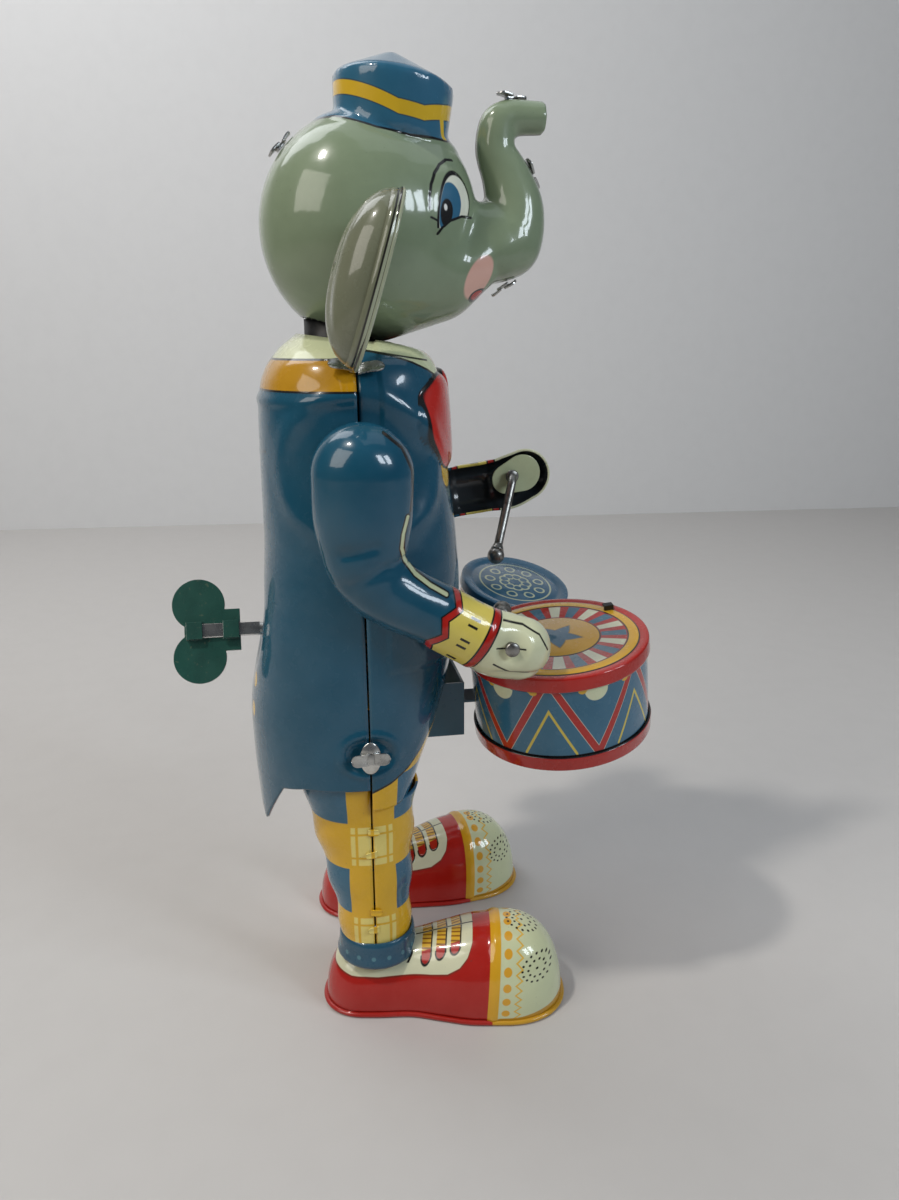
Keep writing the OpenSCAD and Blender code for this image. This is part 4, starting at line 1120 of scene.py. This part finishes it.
def hat_paint(ink, ax):
    """The blue hat with its yellow band and the strip at its front."""
    f, z = ink.f, ink.z
    line = ink.through(f, [(-3, 192.8), (4.7, 190.3), (11.1, 189.2), (19.1, 189.2), (21.5, 189.8)])
    hat = ink.above(z, line) * ink.below(f, 23.5)
    ink.lay(hat, "2f6885")
    lower = [(-3, 197.6), (4.8, 194.2), (8.8, 192.4), (14, 191.6), (18.6, 192.6), (21, 193.4)]
    band = abs(z - ink.through(f, lower) - 1.5)
    ink.lay(ink.below(band, 1.35) * hat, "ddb427")
    ink.lay(ink.line(band - 1.35, 0.2) * hat, "1f4456")
    strip = ink.path(ax, z, [(8.3, 192.8), (6.8, 189.6)])
    ink.lay(ink.below(strip, 0.6) * ink.above(f, 15) * hat, "ddb427")
    ink.lay(ink.line(z - line, 0.45) * ink.below(f, 23.5), BLACK)


def head_paint(ink):
    x, f, z = ink.x, ink.f, ink.z
    ax = abs(x)
    around = ink.math("ARCTAN2", ax, f - 4) * 16
    eye_paint(ink, around, ink.above(f, 8) * ink.below(z, 189))
    cheek = ink.oval(f, z, 25.4, 163.4, 2.5, 4.7, -30)
    ink.lay(ink.below(cheek, 0, 0.3) * ink.below(z, 171) * ink.above(ax, 3.2, 0.5), "e2b3a3")
    mouth = ink.oval(f, z, 25.6, 160.0, 1.5, 0.7, 28)
    for grow, colour in ((0.3, BLACK), (0, RED)):
        ink.lay(ink.below(mouth, grow) * ink.below(z, 163), colour)
    hat_paint(ink, ax)
    seam = ink.below(ax, 0.62, 0.2)
    on_trunk = ink.above(f, 24.5) * ink.above(z, 171)
    ink.lay(seam * (1 - on_trunk), BLACK)
    ink.lay(seam * on_trunk, "5c614e")
    ink.lay(ink.below(ink.length(f - 44.4, ink.length(x, z - 195.4) * 0.25), 0.4), "4a4d40")


# ---- Ears ----
def ear_grid(side):
    """A pressed bowl with a turned lip; its open side faces forward."""
    u = np.linspace(0, 2 * math.pi, 120, endpoint=False)[None, :]
    s = np.array([0.02, 0.1, 0.2, 0.3, 0.4, 0.5, 0.6, 0.7, 0.79, 0.86, 0.92, 0.96, 0.985, 1.0,
                  1.03, 1.045, 1.035, 1.0, 0.96])[:, None]
    back = np.where(s <= 1, -7.9 * np.sqrt(np.clip(1 - np.minimum(s, 1) ** 2.3, 0, 1)), 0)
    lip = np.array([0] * 13 + [0.0, 0.25, 0.7, 1.15, 1.3, 1.15])[:, None]
    shape_x = 10.1 * np.cos(u) * (1 + 0.10 * np.sin(u) - 0.05 * np.cos(2 * u))
    shape_z = 16.1 * np.sin(u)
    x, z = s * shape_x, s * shape_z
    f = np.where(s <= 1, back, 0) + lip
    f = f + 0.5 * bump(x - side * 2 - 0.12 * z, 1.6) * np.clip(1 - s, 0, 1) * 2
    return np.stack([x + 0 * f, f + 0 * x, z + 0 * f], 2)


def ear_paint(ink):
    x, f, z = ink.x, ink.f, ink.z
    # Painted highlight: the turned lip is painted a lighter grey than the ear's back, for the light that
    # falls on the lip.
    ink.lay(ink.above(f, 0.55), "a9ae92")
    ink.lay(ink.line(f - 0.35, 0.5), "23221c")
    crease = ink.path(x, z, [(-1.5, 15.2), (0.5, 13.2), (1.2, 9.5)])
    ink.lay(ink.line(crease, 0.5) * ink.below(f, 0.4), "3c372b")


# ---- Key, clips and small metal ----
def ear_of_strap(long, wide, bend, thick=0.5, curl=0.0):
    """A leaf of a split tab: a strip with a rounded end that springs up by bend and curls over."""
    s = np.linspace(0, 1, 14)[:, None]
    half = wide / 2 * np.sqrt(np.clip(1 - np.clip((s - 0.62) / 0.38, 0, 1) ** 2, 0.0004, 1))
    t = np.linspace(-1, 1, 9)[None, :]
    u = s * long + 0 * t
    v = half * t
    h = bend * np.sin(s * math.pi * 0.55) - curl * s ** 3 + 0.12 * (t ** 2)
    top = np.stack([u, v, h], 2)
    low = top - [0, 0, thick]
    rows, cols = top.shape[:2]
    points = np.concatenate([top.reshape(-1, 3), low.reshape(-1, 3)])
    k = rows * cols
    faces = grid_faces(rows, cols)
    faces += [tuple(i + k for i in f)[::-1] for f in faces]
    edge = ([(0, j) for j in range(cols)] + [(i, cols - 1) for i in range(1, rows)]
            + [(rows - 1, j) for j in range(cols - 2, -1, -1)] + [(i, 0) for i in range(rows - 2, 0, -1)])
    ring = [i * cols + j for i, j in edge]
    faces += [(a, b, b + k, a + k)[::-1] for a, b in zip(ring, ring[1:] + ring[:1])]
    return points, faces


def turned(part, degrees):
    points, faces = part
    a = math.radians(degrees)
    p = np.array(points, float)
    out = p.copy()
    out[:, 0] = p[:, 0] * math.cos(a) - p[:, 1] * math.sin(a)
    out[:, 1] = p[:, 0] * math.sin(a) + p[:, 1] * math.cos(a)
    return out, faces


def pad(cx, cy, cz, sx, sy, sz):
    return block((cx - sx / 2, cx + sx / 2), (cy - sy / 2, cy + sy / 2), (cz - sz / 2, cz + sz / 2))


def clinch(spread, raise_ends):
    """A clinched tab: a bridge over the seam and two leaves folded flat to either side."""
    leaf = ear_of_strap(spread, 2.8, raise_ends, 0.42, 0.15)
    left = turned(leaf, 180)
    return merged([(leaf[0] + [0.3, 0.25, 0.55], leaf[1]), (left[0] + [-0.3, -0.25, 0.8], left[1]),
                   pad(0, 0, 0.25, 2.6, 1.4, 0.6)])


def on_surface(origin, out, along):
    """A place whose third axis points out and whose first runs along, both as across, forward, up."""
    out = unit(np.array(out, float))
    along = np.array(along, float)
    along = unit(along - out * along.dot(out))
    third = np.cross(out, along)

    def place(points):
        p = np.asarray(points, float).reshape(-1, 3)
        return world(np.array(origin) + p[:, :1] * along + p[:, 1:2] * third + p[:, 2:] * out)
    return place


def joined(name, objects):
    """Several pieces that are finished alike as one object."""
    bpy.context.view_layer.update()
    graph = bpy.context.evaluated_depsgraph_get()
    bm = bmesh.new()
    for o in objects:
        mesh = bpy.data.meshes.new_from_object(o.evaluated_get(graph))
        bm.from_mesh(mesh)
    mesh = bpy.data.meshes.new(name)
    bm.to_mesh(mesh)
    bm.free()
    for o in objects:
        bpy.data.objects.remove(o)
    obj = bpy.data.objects.new(name, mesh)
    bpy.context.scene.collection.objects.link(obj)
    return obj


def clip_set(name, body, node, material, clips):
    """Clinched tabs; each is its spread, its leaves' rise, and where on the tin it sits."""
    made = [rounded(mesh_object("clip", *clinch(spread, rise), on_surface(*spot)), 0.1)
            for spread, rise, spot in clips]
    settle(joined(name, made), body, "bright_steel", material, node)


def metal(name, colour, rough=0.32, grime="3b3833", amount=0.5):
    ink = Ink(name, colour, metal=1.0, rough=rough, coat=0.0, source="object")
    dirt = ink.noise(0.55, 4)
    ink.lay(ink.above(dirt, 0.56, 0.2) * amount, grime)
    return ink.done(dents=0.25, specks=0.5, shade=0.12)


def coat_node(node, material):
    """A CAD node keeps its shape and gets a material."""
    mesh = frame["nodes"][node].data
    mesh.materials.clear()
    mesh.materials.append(material)


def bevelled_copy(node, bevel):
    """A copy of a CAD node whose edges are rounded."""
    source = frame["nodes"][node]
    copy = source.copy()
    copy.data = source.data.copy()
    copy.name = node + "_dressed"
    for key in list(copy.keys()):
        del copy[key]
    copy.parent = None
    bpy.context.scene.collection.objects.link(copy)
    bm = bmesh.new()
    bm.from_mesh(copy.data)
    bmesh.ops.remove_doubles(bm, verts=bm.verts, dist=1e-6)
    bmesh.ops.dissolve_limit(bm, angle_limit=math.radians(1), verts=bm.verts, edges=bm.edges)
    bm.to_mesh(copy.data)
    bm.free()
    return rounded(copy, bevel)


def key_paint():
    ink = Ink("key_green", "28594f", rough=0.26, source="object")
    edge = ink.noise(0.8, 4)
    ink.lay(ink.above(edge, 0.66, 0.05) * 0.5, "6d7a64")
    ink.lay(ink.above(ink.noise(0.25, 3), 0.55, 0.3) * 0.4, "153f3a")
    return ink.done(dents=0.3, specks=0.8, speck_colour="91907c")


def printed(name, base, paint, rough, source="print", **wear):
    """A printed tin surface: its base colour, what paint lays on it, and its wear."""
    ink = Ink(name, base, rough=rough, source=source)
    paint(ink)
    return ink.done(**wear)


# ---- Build ----
steel = metal("bright_steel", "c2c3c1", 0.28, amount=0.25)
dull = metal("worn_steel", "9c9a96", 0.36, amount=0.6)
dark = metal("dark_steel", "3a3b3c", 0.45)
brass = metal("brass", "b08c45", 0.32, "4a3a1c")
white_metal = metal("washer_steel", "e4e4e0", 0.25, amount=0.2)

coat_front_print = printed("coat_front_print", BLUE, coat_front_paint, 0.26, "object", specks=0.35)
coat_back_print = printed("coat_back_print", BLUE, coat_back_paint, 0.26, "object", specks=0.35)
trouser_print = printed("trouser_print", YELLOW, trouser_paint, 0.28, "object")

front = sheet("coat_front", coat_front())
legs = [sheet("leg_front_" + word, leg_grid(side, 1, 53.5)) for side, word in ((-1, "right"), (1, "left"))]
body = joined("front_skin", [front] + legs)
settle(body, "figure", "coat_tin", coat_front_print, "body_front_shell")
back = sheet("back_skin", coat_back())
outline = sweep([(0, -34, KEY_Z), (0, -12, KEY_Z)], 3.6, 40)
cut(back, *outline)
cut(back, *block((-2.2, 2.2), (-30, -14), (118, 123.6)))
settle(back, "figure", "coat_tin", coat_back_print, "body_back_shell")
for side, word in ((-1, "right"), (1, "left")):
    leg = sheet("leg_back_skin_" + word, leg_grid(side, -1, 58))
    settle(leg, "figure", "trouser_tin", trouser_print, "leg_back_" + word)

shoe_print = printed("shoe_print", RED, shoe_paint, 0.24)
sole_print = printed("sole_edge", "a81f16", sole_paint, 0.3)
sock_print = printed("sock_print", "1f5068", sock_paint, 0.28)
for side, word in ((-1, "right"), (1, "left")):
    upper = sheet("shoe_upper_" + word, shoe_upper(), shoe_place(side))
    settle(upper, "figure", "shoe_tin", shoe_print, "shoe_" + word)
    collar = lathe([(8.0, 12.4), (8.0, 18.6), (8.2, 19.0), (8.6, 18.8), (8.8, 17.4), (8.9, 15.9),
                    (9.1, 14.6), (9.4, 13.8), (9.4, 13.2), (9.0, 12.6), (8.4, 12.4)])
    collar[..., 1] -= 0.5
    sock = sheet("sock_" + word, collar, shoe_place(side), wrap=True, thick=0)
    settle(sock, "figure", "shoe_tin", sock_print)
    sole = sheet("sole_" + word + "_plate", sole_plate(), shoe_place(side), wrap=True, thick=0)
    settle(sole, "figure", "shoe_tin", sole_print, "sole_" + word)

big_print = printed("big_drum_print", RED, big_drum_paint, 0.26)
small_print = printed("small_drum_print", "2f6380", small_drum_paint, 0.26)
big_face = [(9.6, -0.15), (10.0, -0.3), (10.4, -0.15), (15.9, -0.15), (16.3, -0.05), (18.4, -0.05),
            (18.8, -0.22)]
small_face = [(10.9, -0.15), (11.4, -0.5), (12.0, -0.5), (12.5, -0.12)]
for name, make, place, size, ink_slot, material in (
        ("big_drum_top", drum_lid, BIG, (20.4, 3.4, big_face), "big_drum_tin", big_print),
        ("big_drum_bottom", drum_lid, BIG, (20.4, 3.4, big_face, 23), "big_drum_tin", big_print),
        ("big_drum_wall", drum_wall, BIG, (20.4, 23), "big_drum_tin", big_print),
        ("small_drum_head", drum_lid, SMALL, (14, 2.6, small_face), "small_drum_tin", small_print),
        ("small_drum_bottom", drum_lid, SMALL, (14, 2.6, small_face, 13), "small_drum_tin", small_print),
        ("small_drum_wall", drum_wall, SMALL, (14, 13), "small_drum_tin", small_print)):
    settle(make(name + "_skin", place, *size), "figure", ink_slot, material, name)

sleeve_print = printed("sleeve_print", BLUE, arm_paint, 0.24, specks=0.35)
# Painted shade: the bare tin inside the open arm shells and on the shoulder plates is given a dark grey
# colour for the shade inside the shell.
shaded_inside_tin = Ink("bare_inside", "2a3034", rough=0.3).done()
palm_print = Ink("palm_print", "c3cca4", rough=0.28).done()
for side, word in ((-1, "right"), (1, "left")):
    body_name = "arm_" + word
    arm = sheet("sleeve_" + word, arm_skin(), arm_place(side))
    settle(arm, body_name, "sleeve_tin", sleeve_print, "arm_shell_" + word)
    # Painted shade: the inside face of the sleeve gets the dark grey shaded-inside colour.
    arm.data.materials.append(shaded_inside_tin)
    arm.modifiers["tin"].material_offset = 1
    for name, outline, finish, material, node in (
            ("hand_plate_", capsule((25.5, 91.2), 3.9, (29.8, 89.8), 4.9), "hand_tin", palm_print, "palm_"),
            ("sleeve_plate_", capsule((-1.4, 126.2), 8, (-1.6, 119), 8), "sleeve_tin", shaded_inside_tin,
             "shoulder_plate_")):
        plate = flat_plate(name + word, outline, PLATE_X, arm_place(side))
        settle(plate, body_name, finish, material, node + word)
stick("stick_right", -1, (-6, 32, 90), dull)
stick("stick_left", 1, (19, 36, 97.2), dull)

head_print = printed("head_print", GREY, head_paint, 0.24, "object")
# Painted shade: the ear's base colour is a darker grey than the head's, for the shade on the ear's back.
ear_print = printed("ear_print", "747862", ear_paint, 0.26)
solid_head = head_solid()
for side, word in ((-1, "right"), (1, "left")):
    half = head_half("head_half_" + word, solid_head, side)
    settle(half, "head", "head_tin", head_print, "head_shell_" + word)
    ear_at = placing((side * 29.6, 1.8, 161.4), (17, 0, 0))
    ear = sheet("ear_skin_" + word, ear_grid(side), ear_at, wrap=True, thick=0.55)
    settle(ear, "head", "head_tin", ear_print, "ear_" + word)

neck = lathe([(2, 147.05), (7, 147.05), (7.5, 147.4), (7.5, 155.3), (7.1, 155.3), (7.1, 147.7), (2, 147.6),
              (2, 147.05)])
neck = sheet("neck_tube", neck, placing((0, -3.2, 0)), wrap=True, thick=0)
tongue = mesh_object("neck_tongue", *block((-2.4, 2.4), (-6, 0), (139, 147)))
settle(joined("neck", [neck, rounded(tongue, 0.3)]), "head", "dark_steel", dark, "neck_post")

HEAD_CLIPS = [(9.5, 204.3, 0, 1, 3.2), (-13.4, 188.6, -0.77, 0.64, 3.0), (34, 198.7, 0.05, 1, 3.1),
              (38.2, 184.4, 0.87, 0.5, 3.0), (32.5, 162.3, 0.56, -0.83, 2.8)]
clip_set("head_clip_set", "head", "head_clips", steel,
         [(size, 0.25, ((0, f, z), (0, out_f, out_z), (0.45, out_z, -out_f)))
          for f, z, out_f, out_z, size in HEAD_CLIPS])
clip_set("shoulder_clip_set", "figure", "shoulder_clips", steel,
         [(5.2, 0.9, ((side * 23.2, SEAM_F, 145.4), (side * 0.62, 0, 0.78), (0, 1, 0))) for side in (-1, 1)])

for side, word in ((-1, "right"), (1, "left")):
    place = on_surface((side * 28.7, HIP[0], HIP[1]), (side, 0, 0), (0, 1, 0))
    disc_grid = lathe([(0.1, 0.15), (3.3, 0.15), (3.6, 0.3), (3.7, 0.55), (3.5, 0.75), (0.1, 0.8)])
    disc_grid[..., 0] *= 0.62
    washer = sheet("hip_washer_" + word, disc_grid, place, wrap=True, thick=0)
    leaf = ear_of_strap(3.9, 2.7, 0.7, 0.45, 0.4)
    other = turned(leaf, 180)
    slit = pad(0, 0, 0.9, 1.4, 2.2, 0.9)
    tab = mesh_object("hip_tab_" + word, *merged([(leaf[0] + [0.3, 0, 1.0], leaf[1]),
                                                  (other[0] + [-0.3, 0, 1.1], other[1]), slit]), place)
    settle(washer, "figure", "bright_steel", white_metal)
    settle(rounded(tab, 0.1), "figure", "bright_steel", steel)
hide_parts("hip_washers")
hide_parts("hip_tabs")

# Small tabs folded over the trouser seams.
tabs = []
for side in (-1, 1):
    for height, turn in ((47.0, 1), (41.5, -1), (27.0, 1), (22.6, -1)):
        w = float(smooth_line(LEG_Z, LEG_W, height) + smooth_line(LEG_Z, LEG_X, height))
        leaf = ear_of_strap(2.6, 1.5, 0.4, 0.35, 0.1)
        tabs.append(mesh_object("tab", leaf[0] + [-0.9, 0, 0.25], leaf[1],
                                on_surface((side * w, SEAM_F, height), (side, 0, 0.03), (0, turn, 0))))
tab_set = joined("seam_tabs", tabs)
settle(tab_set, "figure", "trouser_tin", trouser_print)

enamel = Ink("bracket_enamel", BLUE, source="object", rough=0.3).done()
for node, body, finish, material, bevel in (("drum_bracket", "figure", "bracket_tin", enamel, 0.2),
                                            ("big_drum_tab", "figure", "dark_steel", dark, 0.12),
                                            ("winding_key", "winding", "key_enamel", key_paint(), 0.28)):
    settle(bevelled_copy(node, bevel), body, finish, material, node)

STEEL_NODES = ("motor_back_plate motor_front_plate motor_feet arm_bracket neck_bracket neck_pin rocker_stud "
               "ratchet_click winding_arbor second_arbor crank_arbor escape_arbor pallet rocker "
               "arm_shaft_right arm_shaft_left arm_lever_right arm_lever_left")
BRASS_NODES = "motor_pillars great_wheel ratchet_wheel second_wheel crank_wheel escape_wheel"
for names, material in ((STEEL_NODES, steel), (BRASS_NODES, brass), ("mainspring", dark)):
    for node in names.split():
        coat_node(node, material)

# ---- Floor, wall, camera and light ----
CAMERA = (-203.2, -14.1, 151.1)
YAW, PITCH, ROLL = math.radians(9.67), math.radians(16.15), math.radians(0.26)


def stage_plane(name, corners, material):
    mesh = bpy.data.meshes.new(name)
    mesh.from_pydata(world(corners).tolist(), [], [(0, 1, 2, 3)])
    obj = bpy.data.objects.new(name, mesh)
    bpy.context.scene.collection.objects.link(obj)
    mesh.materials.append(material)
    return obj


def plain(name, colour, rough):
    ink = Ink(name, colour, rough=rough, coat=0.0, source="object")
    ink.shader.inputs["Specular IOR Level"].default_value = 0.25
    return ink.done(dents=0.0, specks=0.1, shade=0.012)


WALL_X, WALL_SLANT = 571, 87
stage_plane("floor", [(-1500, -1500, 0), (-1500, 1500, 0), (700, 1500, 0), (700, -1500, 0)],
            plain("floor_paper", "c4c1be", 0.5))
stage_plane("wall", [(WALL_X + WALL_SLANT, -1500, 0), (WALL_X - WALL_SLANT, 1500, 0),
                     (WALL_X - WALL_SLANT, 1500, 1500), (WALL_X + WALL_SLANT, -1500, 1500)],
            plain("wall_paint", "dcdcdc", 0.7))

camera = bpy.data.objects.new("camera", bpy.data.cameras.new("camera"))
bpy.context.scene.collection.objects.link(camera)
bpy.context.scene.camera = camera
camera.data.sensor_fit = "VERTICAL"
camera.data.sensor_height = 36
camera.data.lens = 901 / 1200 * 36
camera.location = world(CAMERA)[0].tolist()
look = Vector((math.cos(YAW) * math.cos(PITCH), -math.sin(YAW) * math.cos(PITCH), -math.sin(PITCH)))
camera.rotation_mode = "QUATERNION"
camera.rotation_quaternion = look.to_track_quat("-Z", "Y") @ Matrix.Rotation(-ROLL, 3, "Z").to_quaternion()
camera.data.clip_start = 0.005


def area(name, at, aim, size, power, colour):
    light = bpy.data.lights.new(name, "AREA")
    light.shape = "RECTANGLE"
    light.size, light.size_y = size[0] / 1000, size[1] / 1000
    light.energy = power
    light.color = colour
    obj = bpy.data.objects.new(name, light)
    bpy.context.scene.collection.objects.link(obj)
    obj.location = world(at)[0].tolist()
    toward = Vector(world(aim)[0]) - Vector(world(at)[0])
    obj.rotation_mode = "QUATERNION"
    obj.rotation_quaternion = toward.to_track_quat("-Z", "Y")


WARM, COOL = (1.0, 0.94, 0.86), (0.82, 0.91, 1.0)
area("window_left", (-330, -620, 560), (0, 0, 90), (460, 460), 2.3, WARM)
area("key_light", (-130, -370, 820), (0, 20, 60), (50, 50), 2.4, (1.0, 0.96, 0.9))
for name, at in (("window_front", (-420, 420, 420)), ("window_front_pane", (-330, 560, 420))):
    area(name, at, (0, 0, 120), (110, 180), 0.9, COOL)
area("ceiling", (100, 200, 900), (0, 0, 100), (700, 700), 0.8, (0.86, 0.93, 1.0))
area("wall_wash", (330, -300, 700), (590, 0, 160), (500, 300), 1.5, (0.95, 0.97, 1.0))

air = bpy.data.worlds.new("room")
bpy.context.scene.world = air
air.use_nodes = True
air.node_tree.nodes["Background"].inputs["Color"].default_value = (0.78, 0.84, 0.95, 1)
air.node_tree.nodes["Background"].inputs["Strength"].default_value = 0.1
bpy.context.scene.view_settings.view_transform = "Standard"
